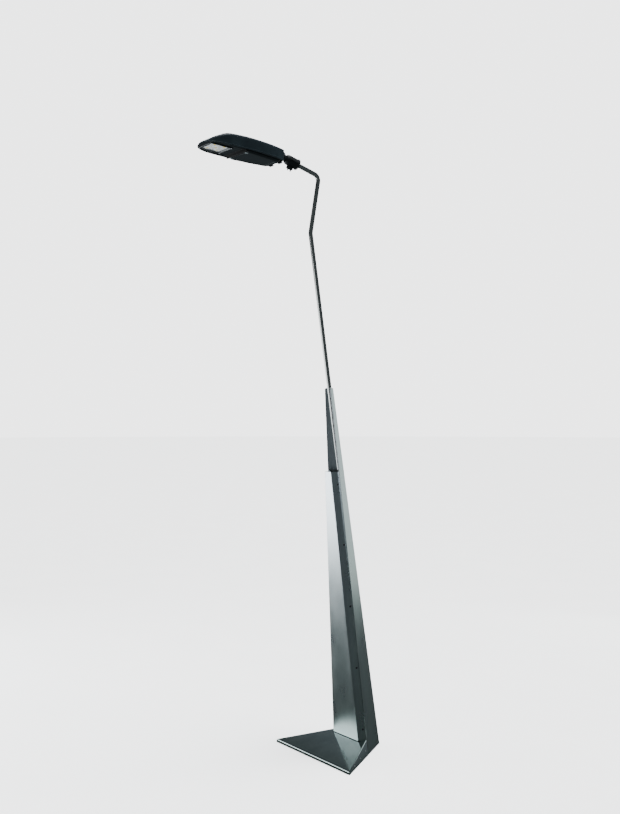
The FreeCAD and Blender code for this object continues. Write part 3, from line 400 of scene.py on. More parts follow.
def sheet_finish(name, colour, foot, grain, rough, shade_height, depth=0.00004):
    """Steel sheet: fine rolled grain, cloudy handling marks and painted shade, a darker tone at the foot that
    thins with height and stands in for a dark reflection.
    """
    make = Maker(name)
    fine = make.noise(grain, 3.0)
    cloud = make.noise((9.0, 9.0, 5.0), 5.0)
    height = make.add("ShaderNodeSeparateXYZ", {0: make.place}).outputs["Z"]
    # Painted shade: towards the foot the colour goes over to the darker foot colour, standing in for a dark
    # reflection.
    film = make.span(height, 0.0, 1.0, 0.0, shade_height)
    plain_tone = make.ramp(fine, shade(colour, 0.90), shade(colour, 1.06))
    shaded_tone = make.ramp(fine, shade(foot, 0.86), shade(foot, 1.10))
    tone = make.mixed(film, shaded_tone, plain_tone)
    veil = make.ramp(cloud, (0.86, 0.87, 0.88), (1.0, 1.0, 1.0), 0.35, 0.6)
    make.fill(
        Base_Color=make.mixed(1.0, tone, veil, "MULTIPLY"),
        Metallic=1.0,
        Roughness=make.span(cloud, rough[0], rough[1]),
    )
    make.height(fine, depth, 0.6)


def metal_finish(name, colour, grain, rough, depth=0.00004, spangle=None):
    """Plain metal: grain or zinc spangle with slight colour and gloss changes."""
    make = Maker(name)
    pattern = make.cells(spangle) if spangle else make.noise(grain, 4.0)
    cloud = make.noise((30.0, 30.0, 30.0), 4.0)
    make.fill(
        Base_Color=make.ramp(pattern, shade(colour, 0.84), shade(colour, 1.08), 0.15, 0.85),
        Metallic=1.0,
        Roughness=make.span(cloud, rough[0], rough[1]),
    )
    make.height(make.noise(grain, 4.0), depth, 0.5)


def coated_finish(name, colour, grain, rough, depth, dust=None):
    """Paint, casting skin, plastic or rubber: a textured skin with worn and dusty patches."""
    make = Maker(name)
    skin = make.noise((grain,) * 3, 2.0)
    cloud = make.noise((14.0, 14.0, 14.0), 5.0)
    tone = make.ramp(cloud, shade(colour, 0.82), shade(colour, 1.14))
    if dust:
        tone = make.mixed(make.span(cloud, 0.0, 0.35, 0.52, 0.75), tone, (*dust, 1.0))
    make.fill(Base_Color=tone, Roughness=make.span(cloud, rough[0], rough[1]))
    make.height(skin, depth, 0.5)


def glass_finish(name):
    """Toughened glass: clear, with a thin uneven film of dust."""
    make = Maker(name)
    cloud = make.noise((25.0, 25.0, 25.0), 5.0)
    make.fill(
        Base_Color=make.ramp(cloud, (0.90, 0.93, 0.93), (0.97, 0.99, 0.99)),
        Roughness=make.span(cloud, 0.02, 0.10),
        Alpha=make.span(cloud, 0.10, 0.20),
        IOR=1.5,
    )
    make.height(cloud, 0.0001, 0.2)


def chip_finish(name):
    """Phosphor under a clear dome: deep yellow in the middle of the grain, paler round it, with a faint glow that
    is painted light on the unlit chips.
    """
    make = Maker(name)
    grain = make.noise((900.0, 900.0, 900.0), 2.0)
    make.fill(
        Base_Color=make.ramp(grain, (0.86, 0.60, 0.04), (0.98, 0.82, 0.16)),
        Roughness=make.span(grain, 0.16, 0.24),
        # Painted light: the unlit chips glow faintly.
        Emission_Color=make.ramp(grain, (0.80, 0.56, 0.05), (0.90, 0.74, 0.15)),
        Emission_Strength=0.55,
    )
    make.height(grain, 0.00003, 0.4)


def reflector_finish(name):
    """Glossy white reflector film with faint waves; a faint glow is painted light that keeps it bright in the
    shade under the head.
    """
    make = Maker(name)
    wave = make.noise((120.0, 120.0, 120.0), 3.0)
    make.fill(
        Base_Color=make.ramp(wave, (0.80, 0.82, 0.84), (0.92, 0.94, 0.95)),
        Roughness=make.span(wave, 0.22, 0.34),
        # Painted light: the reflector glows though it is no lamp.
        Emission_Color=make.ramp(wave, (0.74, 0.78, 0.82), (0.90, 0.93, 0.95)),
        Emission_Strength=0.42,
    )
    make.height(wave, 0.0002, 0.3)


# ---------------------------------------------------------------- operators


class LAMP_OT_studio(bpy.types.Operator):
    """Pale floor, soft light and the camera"""

    bl_idname = "lamp.studio"
    bl_label = "Studio"

    def soft_box(self, name, place, target, size, power, tint):
        light = bpy.data.lights.new(name, "AREA")
        light.shape = "RECTANGLE"
        light.size, light.size_y = size
        light.energy = power
        light.color = tint
        item = bpy.data.objects.new(name, light)
        item.location = place
        item.rotation_euler = (Vector(target) - Vector(place)).to_track_quat("-Z", "Y").to_euler()
        item.visible_camera = False
        bpy.context.scene.collection.objects.link(item)

    def make_floor(self, settings):
        bm = bmesh.new()
        bmesh.ops.create_circle(bm, cap_ends=True, segments=96, radius=settings.floor_radius)
        mesh = bpy.data.meshes.new("studio_floor")
        bm.to_mesh(mesh)
        bm.free()
        make = Maker("studio_floor")
        cloud = make.noise((2.0, 2.0, 2.0), 3.0)
        make.fill(
            Base_Color=make.ramp(cloud, (0.93, 0.94, 0.945), (0.95, 0.955, 0.96)),
            Roughness=make.span(cloud, 0.85, 0.95),
        )
        mesh.materials.append(make.material)
        item = bpy.data.objects.new("studio_floor", mesh)
        item.visible_glossy = False
        item.visible_diffuse = False
        bpy.context.scene.collection.objects.link(item)

    def make_world(self, settings):
        world = bpy.data.worlds.new("studio")
        world.use_nodes = True
        bpy.context.scene.world = world
        tree = world.node_tree
        tree.nodes.clear()
        ray = tree.nodes.new("ShaderNodeLightPath")
        soft = tree.nodes.new("ShaderNodeBackground")
        soft.inputs["Color"].default_value = (0.80, 0.95, 1.0, 1.0)
        soft.inputs["Strength"].default_value = settings.sky
        pale = tree.nodes.new("ShaderNodeBackground")
        pale.inputs["Color"].default_value = (0.985, 0.992, 1.0, 1.0)
        pale.inputs["Strength"].default_value = settings.backdrop
        mix = tree.nodes.new("ShaderNodeMixShader")
        out = tree.nodes.new("ShaderNodeOutputWorld")
        tree.links.new(ray.outputs["Is Camera Ray"], mix.inputs[0])
        tree.links.new(soft.outputs[0], mix.inputs[1])
        tree.links.new(pale.outputs[0], mix.inputs[2])
        tree.links.new(mix.outputs[0], out.inputs["Surface"])

    def execute(self, context):
        settings = context.scene.lamp_studio
        camera = bpy.data.cameras.new("camera")
        camera.lens = settings.lens
        camera.sensor_width = 36.0
        item = bpy.data.objects.new("camera", camera)
        item.location = settings.camera_place
        item.rotation_euler = (math.pi / 2, 0.0, settings.camera_turn)
        context.scene.collection.objects.link(item)
        context.scene.camera = item
        self.make_floor(settings)
        self.make_world(settings)
        self.soft_box("key", (-3.4, -2.6, 1.02), (0.0, 0.0, 1.1), (3.2, 1.95), 108.0, (0.90, 0.96, 1.0))
        self.soft_box("front", (-0.6, -4.6, 1.32), (0.0, 0.0, 1.25), (2.6, 1.5), 36.0, (0.95, 0.98, 1.0))
        self.soft_box("back", (-1.1, 4.2, 1.45), (0.0, 0.0, 1.4), (2.2, 2.3), 15.0, (0.86, 1.0, 0.95))
        self.soft_box("top", (-0.4, -0.2, 6.0), (0.0, -0.2, 2.9), (2.4, 2.4), 60.0, (0.94, 0.97, 1.0))
        sun = bpy.data.lights.new("overhead", "SUN")
        sun.energy = settings.sun
        sun.angle = math.radians(50)
        item = bpy.data.objects.new("overhead", sun)
        item.rotation_euler = (math.radians(-14), math.radians(10), 0.0)
        item.visible_glossy = False
        context.scene.collection.objects.link(item)
        return {"FINISHED"}


class LAMP_OT_finishes(bpy.types.Operator):
    """Every finish, and its place on the pieces that keep their drawn shape"""

    bl_idname = "lamp.finishes"
    bl_label = "Finishes"

    def execute(self, context):
        colour = context.scene.lamp_colours
        steel, foot = tuple(colour.steel), tuple(colour.steel_painted_shade)
        # Both sheets carry painted shade towards their foot: the stainless fades out over 1.5 m, the apron over
        # 0.09 m.
        sheet_finish("stainless", steel, foot, (1500.0, 1500.0, 24.0), (0.26, 0.34), 1.5)
        apron = tuple(colour.apron)
        sheet_finish("apron_steel", apron, foot, (40.0, 1500.0, 1500.0), (0.07, 0.13), 0.09, 0.00001)
        metal_finish("mast_steel", tuple(colour.mast), (900.0, 900.0, 14.0), (0.16, 0.26), 0.00003)
        metal_finish("galvanised", (0.46, 0.48, 0.49), (180.0,) * 3, (0.34, 0.50), 0.00006, (140.0,) * 3)
        metal_finish("fastener", (0.62, 0.63, 0.64), (1200.0,) * 3, (0.20, 0.32))
        metal_finish("fastener_dark", (0.07, 0.075, 0.08), (1200.0,) * 3, (0.34, 0.46))
        metal_finish("earth_brass", (0.72, 0.55, 0.26), (700.0,) * 3, (0.24, 0.40))
        metal_finish("tray_metal", (0.60, 0.61, 0.62), (900.0, 30.0, 900.0), (0.26, 0.38))
        coated_finish("anthracite", tuple(colour.coat), 1100.0, (0.34, 0.46), 0.00012, (0.022, 0.032, 0.038))
        coated_finish("black_cast", (0.010, 0.011, 0.012), 700.0, (0.40, 0.55), 0.0002)
        coated_finish("clip_grey", (0.46, 0.52, 0.53), 1400.0, (0.28, 0.40), 0.00005)
        coated_finish("seal_rubber", (0.008, 0.008, 0.008), 900.0, (0.65, 0.80), 0.0001)
        coated_finish("board", (0.74, 0.77, 0.78), 1600.0, (0.30, 0.42), 0.00004)
        coated_finish("gear_plastic", (0.74, 0.74, 0.71), 1300.0, (0.36, 0.50), 0.00006)
        coated_finish("box_plastic", (0.25, 0.27, 0.28), 1300.0, (0.40, 0.52), 0.00008)
        coated_finish("gland_plastic", (0.016, 0.016, 0.017), 1300.0, (0.42, 0.56), 0.00006)
        coated_finish("knob_red", (0.42, 0.03, 0.02), 1300.0, (0.34, 0.46), 0.00005)
        glass_finish("window_glass")
        chip_finish("chip_yellow")
        reflector_finish("reflector_white")
        for name, item in frame["nodes"].items():
            item.data.materials.clear()
            item.data.materials.append(FINISHES[SLOT_OF[name]])
        return {"FINISHED"}


class LAMP_OT_post_shell(bpy.types.Operator):
    """The folded rear shell of the post"""

    bl_idname = "lamp.post_shell"
    bl_label = "Rear shell"

    def execute(self, context):
        settings = context.scene.lamp_post
        low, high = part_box("rear_shell")
        half_low, half_high = high.x, WING_TOP_HALF
        slope = FOOT_DEPTH / FOOT_HALF
        apex_high = high.y - LEAN * high.z
        outlines = []
        for half, apex, level in ((half_low, high.y, low.z + 0.0003), (half_high, apex_high, high.z)):
            front = apex - half * slope
            outlines.append([(half, front, level), (0.0, apex, level), (-half, front, level)])
        bm = folded_sheet(*outlines, settings.shell_bend, SHEET, settings.sheet_edge, 0.009)
        piece(bm, "post_shell", "post", ["rear_shell"], "stainless")
        return {"FINISHED"}


class LAMP_OT_door(bpy.types.Operator):
    """The front door, folded back at both sides"""

    bl_idname = "lamp.door"
    bl_label = "Front door"

    def execute(self, context):
        settings = context.scene.lamp_post
        low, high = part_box("front_door")
        hem = low.z - 0.002
        outlines = []
        for tail, front, level in ((high.x, DOOR_FOOT_Y, hem), (DOOR_TOP_HALF + DOOR_OUT, low.y, high.z)):
            half = tail - DOOR_OUT
            back = front + DOOR_BACK
            right = [(half, front, level), (tail, back, level)]
            outlines.append([(-x, y, z) for x, y, z in reversed(right)] + right)
        bm = folded_sheet(*outlines, settings.door_bend, 0.002, settings.sheet_edge * 2)
        piece(bm, "door_panel", "post", ["front_door"], "stainless")
        # Painted shade: a black strip fills the gap between the door's hem and the apron, where shade falls.
        bm = bmesh.new()
        shade_strip_front = DOOR_FOOT_Y + 0.0027
        low, high = (-0.098, shade_strip_front, 0.060), (0.098, shade_strip_front + 0.0058, 0.0785)
        slab(bm, low, high, Matrix.Identity(4), 0.001)
        piece(bm, "door_gap_shade_strip", "post", [], "seal_rubber")
        return {"FINISHED"}


class LAMP_OT_foot(bpy.types.Operator):
    """The sloping apron of the foot with its lip and skirts"""

    bl_idname = "lamp.foot"
    bl_label = "Foot cover"

    def execute(self, context):
        settings = context.scene.lamp_post
        _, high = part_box("foot_cover")
        half, depth, lean, lip, slope = high.x, FOOT_DEPTH, LEAN, LIP_RISE, APRON_SLOPE

        def side(y, z):
            return half * (1 - (y + lean * z) / depth)

        rear = 0.127
        rear_top = (depth * (1 - rear / half) - lean * lip) / (1 + lean * slope)
        rear_low = depth * (1 - rear / half)
        top_z = lip + slope * rear_top
        notch = 0.211
        right = [
            (half, 0.0, 0.0),
            (side(0.0, lip), 0.0, lip),
            (rear, rear_low, 0.0),
            (rear, rear_top, top_z),
            (0.1184, rear_top, top_z),
            (0.108, notch, lip + slope * notch),
        ]
        bm = bmesh.new()
        pairs = [[bm.verts.new((x * sign, y + FRONT, z)) for sign in (1, -1)] for x, y, z in right]
        (ground, ground_l), (corner, corner_l), (tail, tail_l) = pairs[:3]
        (top, top_l), (tongue, tongue_l), (cut, cut_l) = pairs[3:]
        bm.faces.new((ground_l, ground, corner, corner_l))
        bm.faces.new((ground, tail, top, corner))
        bm.faces.new((tail_l, ground_l, corner_l, top_l))
        bm.faces.new((corner_l, corner, top, tongue, cut, cut_l, tongue_l, top_l))
        soften(bm, [edge for edge in bm.edges if len(edge.link_faces) == 2], settings.apron_bend, 5)
        thicken(bm, SHEET, settings.sheet_edge)
        piece(bm, "apron_cover", "post", ["foot_cover"], "apron_steel")
        return {"FINISHED"}


class LAMP_OT_mast(bpy.types.Operator):
    """The mast tube with its two bends"""

    bl_idname = "lamp.mast"
    bl_label = "Mast"

    def execute(self, context):
        sides = context.scene.lamp_post.tube_sides
        stations = [(0.208, 1.168), (-0.004, 2.585), (0.046, 2.869), (-0.128, 2.92555)]
        points = [Vector((0.0, y + FRONT, z)) for y, z in stations]
        radii = (0.060, 0.032)
        steps = (8, 16)
        way = (points[1] - points[0]).normalized()
        bm = bmesh.new()
        turn = way.to_track_quat("Z", "Y").to_matrix().to_4x4()
        foot = Matrix.Translation(points[0]) @ turn
        made = bmesh.ops.create_circle(bm, segments=sides, radius=0.011, matrix=foot)
        ring = made["verts"]
        edges = list({edge for vert in ring for edge in vert.link_edges})
        here = points[0]
        for i, radius in enumerate(radii):
            corner = points[i + 1]
            onward = (points[i + 2] - corner).normalized()
            angle = way.angle(onward)
            reach = radius * math.tan(angle / 2)
            start = corner - way * reach
            axis = way.cross(onward).normalized()
            centre = start + axis.cross(way) * radius
            ring, edges = raised(bm, edges, lambda co, move=start - here: co + move)
            spun = bmesh.ops.spin(
                bm, geom=ring + edges, cent=centre, axis=axis, angle=angle, steps=steps[i], use_merge=False
            )["geom_last"]
            ring = [item for item in spun if isinstance(item, bmesh.types.BMVert)]
            edges = [item for item in spun if isinstance(item, bmesh.types.BMEdge)]
            here = corner + onward * reach
            way = onward
        raised(bm, edges, lambda co, move=points[-1] - here: co + move)
        bmesh.ops.recalc_face_normals(bm, faces=bm.faces[:])
        if sum(face.normal.x * face.calc_center_median().x for face in bm.faces) < 0:
            bmesh.ops.reverse_faces(bm, faces=bm.faces[:])
        bmesh.ops.solidify(bm, geom=bm.faces[:], thickness=0.002)
        piece(bm, "mast_pipe", "post", ["mast_tube"], "mast_steel")
        return {"FINISHED"}


class LAMP_OT_adapter(bpy.types.Operator):
    """The cast spigot adapter between the mast's arm and the head"""

    bl_idname = "lamp.adapter"
    bl_label = "Spigot adapter"

    def execute(self, context):
        bm = bmesh.new()
        along = ARM @ BACKWARDS
        sleeve = [
            (0.0085, 0.031), (0.0185, 0.031), (0.0215, 0.034), (0.0220, 0.037), (0.0235, 0.0385),
            (0.0246, 0.041), (0.0250, 0.045), (0.0250, 0.068), (0.0254, 0.0695), (0.0254, 0.072),
            (0.0250, 0.0735), (0.0250, 0.092), (0.0262, 0.096), (0.0272, 0.0975), (0.0275, 0.0990),
            (0.0275, 0.1020), (0.0266, 0.1036), (0.0250, 0.104), (0.0215, 0.104), (0.0210, 0.1034),
            (0.0210, 0.040), (0.0085, 0.040),
        ]
        turned(bm, sleeve, along, 56)
        slab(bm, (-0.014, 0.004, -0.012), (0.014, 0.036, 0.012), ARM, 0.004)
        slab(bm, (-0.006, 0.010, -0.0155), (0.006, 0.040, -0.009), ARM, 0.002)
        slab(bm, (-0.006, 0.010, 0.009), (0.006, 0.040, 0.0155), ARM, 0.002)
        drum(bm, 0.016, -0.014, 0.014, ARM @ ACROSS, 48, 0.0012)
        slab(bm, (-0.009, 0.050, -0.040), (0.009, 0.082, -0.020), ARM, 0.003)
        for side in (-1, 1):
            x = side * 0.0265
            slab(bm, (x - 0.0012, 0.044, -0.003), (x + 0.0004, 0.094, 0.003), ARM, 0.0006)
        piece(bm, "adapter_casting", "post", ["spigot_adapter"], "black_cast")
        return {"FINISHED"}


class LAMP_OT_tilt_joint(bpy.types.Operator):
    """The bolt, washers and nut of the tilt joint"""

    bl_idname = "lamp.tilt_joint"
    bl_label = "Tilt joint"

    def execute(self, context):
        across = ARM @ ACROSS
        ear = 0.0223
        bm = bmesh.new()
        drum(bm, 0.0075, ear + 0.0016, ear + 0.0069, across, 6, 0.0005)
        drum(bm, 0.0061, ear + 0.0066, ear + 0.0073, across, 32, 0.0003)
        drum(bm, 0.0040, -ear - 0.0140, ear + 0.002, across, 32, 0.0006)
        piece(bm, "tilt_bolt_turned", "post", ["tilt_bolt"], "fastener")
        bm = bmesh.new()
        ring = [(0.0042, 0.0), (0.0082, 0.0), (0.0085, 0.0003), (0.0085, 0.0013), (0.0082, 0.0016),
                (0.0042, 0.0016)]
        for level in (ear, -ear - 0.0016):
            turned(bm, ring, across @ Matrix.Translation((0.0, 0.0, level)), 40)
        piece(bm, "tilt_washers_turned", "post", ["tilt_washers"], "fastener")
        bm = bmesh.new()
        drum(bm, 0.0075, -ear - 0.0076, -ear - 0.0017, across, 6, 0.0005)
        drum(bm, 0.0060, -ear - 0.0086, -ear - 0.0070, across, 32, 0.0006)
        piece(bm, "tilt_nut_turned", "post", ["tilt_nut"], "fastener")
        return {"FINISHED"}


def button_head(bm, place, radius, rise):
    """A domed screw head with a hexagonal socket; its seat is at z = 0 of the frame."""
    before = set(bm.verts)
    socket = radius * 0.52
    steps = 24
    dome = [(1.0, 0.0), (1.0, 0.12), (0.94, 0.42), (0.82, 0.72), (0.68, 0.93), (0.60, 1.0)]
    verts = [bm.verts.new((radius * across, 0, rise * up)) for across, up in dome]
    edges = [bm.edges.new(pair) for pair in zip(verts, verts[1:])]
    spun(bm, verts, edges, steps)
    fresh = [vert for vert in bm.verts if vert not in before]
    bmesh.ops.remove_doubles(bm, verts=fresh, dist=1e-6)
    fresh = [vert for vert in bm.verts if vert not in before]
    rims = rim_of(bm, fresh)
    top = [edge for edge in rims if all(vert.co.z > rise / 2 for vert in edge.verts)]
    seat = [edge for edge in rims if all(vert.co.z < rise / 4 for vert in edge.verts)]
    bmesh.ops.holes_fill(bm, edges=seat, sides=steps)
    lift = Matrix.Translation((0, 0, rise))
    hexagon = bmesh.ops.create_circle(bm, segments=6, radius=socket, matrix=lift)["verts"]
    hex_edges = list({edge for vert in hexagon for edge in vert.link_edges})
    bmesh.ops.bridge_loops(bm, edges=top + hex_edges)
    _, deep_edges = raised(bm, hex_edges, lambda co: Vector((co.x, co.y, rise * 0.4)))
    bmesh.ops.holes_fill(bm, edges=deep_edges, sides=6)
    bmesh.ops.transform(bm, matrix=place, verts=[vert for vert in bm.verts if vert not in before])


def aimed(origin, direction):
    """A frame at origin whose z axis points along direction."""
    turn = Vector(direction).to_track_quat("Z", "Y").to_matrix().to_4x4()
    return Matrix.Translation(origin) @ turn


class LAMP_OT_screws(bpy.types.Operator):
    """The domed socket screws of the door, the skirts and the window frame"""

    bl_idname = "lamp.screws"
    bl_label = "Screws"

    def door_places(self):
        places = []
        for side in (-1, 1):
            low = Vector((side * 0.106, DOOR_FOOT_Y, 0.0745))
            high = Vector((side * DOOR_TOP_HALF, 0.1005 + FRONT, 1.406))
            back = Vector((side * DOOR_OUT, DOOR_BACK, 0.0)).normalized()
            rise = (high - low).normalized()
            out = back.cross(rise).normalized() * side
            run = math.hypot(DOOR_OUT, DOOR_BACK) - 0.013
            for level in (0.128, 0.433, 0.738, 1.043, 1.343):
                start = low + rise * ((level - low.z) / rise.z)
                places.append(aimed(start + back * run, out))
        return places

    def skirt_places(self):
        places = []
        for side in (-1, 1):
            out = Vector((FOOT_DEPTH * side, FOOT_HALF, FOOT_HALF * LEAN)).normalized()
            for half in (0.150, 0.207, 0.264):
                edge_y = FOOT_DEPTH * (1 - half / FOOT_HALF)
                rise = (LIP_RISE + APRON_SLOPE * (edge_y - LEAN * 0.020)) * 0.42
                y = edge_y - LEAN * rise
                places.append(aimed((side * half, y + FRONT, rise), out))
        return places

    def frame_places(self):
        down = Matrix.Rotation(math.pi, 4, "X")
        corners = [(sx * 0.0575, WINDOW_CENTRE + sy * 0.054) for sx in (-1, 1) for sy in (-1, 1)]
        return [HEAD @ Matrix.Translation((x, y, FRAME_LOW)) @ down for x, y in corners]

    def execute(self, context):
        groups = (
            ("door_screws", "post", self.door_places(), 0.00475, 0.0028, 0.0025, 0.016, "fastener_dark"),
            ("skirt_screws", "post", self.skirt_places(), 0.0040, 0.0022, 0.0020, 0.0032, "fastener"),
            ("frame_screws", "head", self.frame_places(), 0.0035, 0.0020, 0.0020, 0.0090, "fastener"),
        )
        for node, body, places, radius, rise, shank, length, finish in groups:
            bm = bmesh.new()
            for place in places:
                button_head(bm, place, radius, rise)
                drum(bm, shank, -length, 0.0002, place, 16, shank * 0.2)
            piece(bm, node + "_turned", body, [node], "fastener", finish)
        return {"FINISHED"}


def nose_point(half, start, tip, share):
    """A point on the nose's plan, a share of the quarter turn from its side to its tip."""
    turn = math.radians(90) * share
    return half * math.cos(turn) ** NOSE_POWER, start + (tip - start) * math.sin(turn) ** NOSE_POWER


class LAMP_OT_head(bpy.types.Operator):
    """The head's cast housing: a crowned shell with cooling fins and two knuckle ears"""

    bl_idname = "lamp.head"
    bl_label = "Head housing"

    REAR = -0.022
    NOSE_START = -0.300
    NOSE = -0.436
    RIM = -0.043
    CROWN_REAR = -0.085
    CROWN_NOSE = -0.350

    def crown(self, y):
        """Height of the crown along the head."""
        line = [(-0.436, -0.0350), (-0.425, -0.0255), (-0.410, -0.0150), (-0.395, -0.0060), (-0.372, 0.0040),
                (-0.330, 0.0148), (-0.270, 0.0185), (-0.200, 0.0178), (-0.110, 0.0140), (-0.022, 0.0095)]
        for (y0, z0), (y1, z1) in zip(line, line[1:]):
            if y <= y1:
                return z0 + (z1 - z0) * max(0.0, (y - y0) / (y1 - y0))
        return line[-1][1]

    def outline(self):
        """The plan's right half, from the middle of the rear round to the tip of the nose."""
        corner = 0.013
        points = [(0.0, self.REAR), (0.035, self.REAR), (0.080 - corner, self.REAR)]
        for i in range(1, 6):
            turn = math.radians(78) * i / 5
            x, y = 0.080 - corner + corner * math.sin(turn), self.REAR - corner * (1 - math.cos(turn))
            points.append((x, y))
        for y, x in ((-0.060, 0.0905), (-0.085, 0.0972), (-0.110, 0.1022), (-0.135, 0.1048), (-0.170, 0.1058),
                     (-0.210, 0.1058), (-0.255, 0.1050)):
            points.append((x, y))
        for i in range(16):
            points.append(nose_point(0.104, self.NOSE_START, self.NOSE, i / 16))
        return points + [(0.0, self.NOSE)]

    def execute(self, context):
        settings = context.scene.lamp_head
        plan = self.outline()
        bm = bmesh.new()
        verts = [bm.verts.new((x, y, self.RIM)) for x, y in plan]
        edges = [bm.edges.new(pair) for pair in zip(verts, verts[1:])]
        outward = {}
        for i, (x, y) in enumerate(plan):
            before, after = plan[max(0, i - 1)], plan[min(len(plan) - 1, i + 1)]
            normal = Vector((-(after[1] - before[1]), after[0] - before[0])).normalized()
            if x == 0.0:
                normal = Vector((0.0, 1.0 if i == 0 else -1.0))
            outward[i] = Vector((abs(normal.x), normal.y, 0.0)) if x > 0 else Vector((0.0, normal.y, 0.0))

        bead = self.RIM + 0.0066

        def shoulder(y):
            """The shoulder's width: tight along the rear edge, full along the sides and nose."""
            rear = min(1.0, max(0.0, (y + 0.100) / 0.070))
            return settings.shoulder + (0.004 - settings.shoulder) * rear

        def drop(y):
            """The shoulder's height, limited where the nose runs down to the rim."""
            return min(shoulder(y), 0.7 * (self.crown(y) - bead))

        def ring(inset, level):
            """Extrudes the last ring to an inset of the plan at a height that may follow the crown."""
            nonlocal verts, edges
            made = bmesh.ops.extrude_edge_only(bm, edges=edges)["geom"]
            fresh = [item for item in made if isinstance(item, bmesh.types.BMVert)]
            linked = {}
            for old in verts:
                for edge in old.link_edges:
                    other = edge.other_vert(old)
                    if other in fresh:
                        linked[old] = other
            verts = [linked[old] for old in verts]
            edges = [item for item in made if isinstance(item, bmesh.types.BMEdge) and item.verts[0] in fresh
                     and item.verts[1] in fresh]
            for i, vert in enumerate(verts):
                x, y = plan[i]
                shifted = Vector((x, y, 0.0)) - outward[i] * inset(y)
                vert.co = Vector((max(0.0, shifted.x), shifted.y, level(shifted.y)))

        ring(lambda y: 0.0, lambda y: self.RIM + 0.0055)
        ring(lambda y: 0.0012, lambda y: bead)
        for share in (0.35, 0.7, 1.0):
            ring(lambda y, share=share: 0.0012 + 0.0016 * share,
                 lambda y, share=share: bead + (self.crown(y) - drop(y) - bead) * share)
        for i in range(1, 7):
            turn = math.radians(15 * i)
            ring(lambda y, turn=turn: 0.0028 + shoulder(y) * (1 - math.cos(turn)),
                 lambda y, turn=turn: self.crown(y) - drop(y) * (1 - math.sin(turn)))
        starts = [vert.co.copy() for vert in verts]
        for share in (0.75, 0.5, 0.25, 0.0):
            ring(lambda y: 0.0, lambda y: 0.0)
            for vert, start in zip(verts, starts):
                heart = Vector((0.0, min(max(start.y, self.CROWN_NOSE), self.CROWN_REAR), 0.0))
                vert.co = heart + (start - heart) * share
                vert.co.z = self.crown(vert.co.y)
        bmesh.ops.remove_doubles(bm, verts=bm.verts[:], dist=2e-5)
        bmesh.ops.dissolve_degenerate(bm, edges=bm.edges[:], dist=1e-6)
        bmesh.ops.mirror(bm, geom=bm.verts[:] + bm.edges[:] + bm.faces[:], axis="X", merge_dist=2e-5)
        bmesh.ops.remove_doubles(bm, verts=bm.verts[:], dist=2e-5)
        look_along(bm, (0, 0, 1))
        bmesh.ops.solidify(bm, geom=bm.faces[:], thickness=settings.wall)
        bmesh.ops.transform(bm, matrix=HEAD, verts=bm.verts[:])
        self.add_fins(bm, settings)
        self.add_ears(bm)
        piece(bm, "lamp_housing", "head", ["head_housing"], "anthracite")
        return {"FINISHED"}

    def add_fins(self, bm, settings):
        """Upright cooling fins along the crown, tapered at both ends."""
        profile = [(-0.212, 0.016), (-0.226, 0.0215), (-0.250, 0.0228), (-0.318, 0.0220), (-0.340, 0.0185),
                   (-0.367, 0.0085), (-0.370, 0.0025), (-0.330, 0.0120), (-0.250, 0.0150)]
        for i in range(settings.fin_count):
            x = (i - (settings.fin_count - 1) / 2) * settings.fin_pitch
            before = set(bm.verts)
            face = bm.faces.new([bm.verts.new((x - 0.0011, y, z)) for y, z in profile])
            made = bmesh.ops.extrude_face_region(bm, geom=[face])["geom"]
            for vert in made:
                if isinstance(vert, bmesh.types.BMVert):
                    vert.co.x += 0.0022
            fresh = [vert for vert in bm.verts if vert not in before]
            bmesh.ops.transform(bm, matrix=HEAD, verts=fresh)
            soften(bm, {edge for vert in fresh for edge in vert.link_edges}, 0.0006)

    def add_ears(self, bm):
        """The two ears that the head tilts on, webbed to the rear wall."""
        for side in (-1, 1):
            near, far = sorted((side * 0.0143, side * 0.0223))
            drum(bm, 0.017, near, far, HEAD @ ACROSS, 48, 0.0012)
            outer = far - 0.002 if side > 0 else near
            drum(bm, 0.0105, outer, outer + 0.002, HEAD @ ACROSS, 40, 0.0005)
            slab(bm, (near, -0.0245, -0.0158), (far, -0.002, 0.0078), HEAD, 0.0015)
            slab(bm, (near - 0.001, -0.0262, -0.0178), (far + 0.001, -0.0200, 0.0092), HEAD, 0.0018)


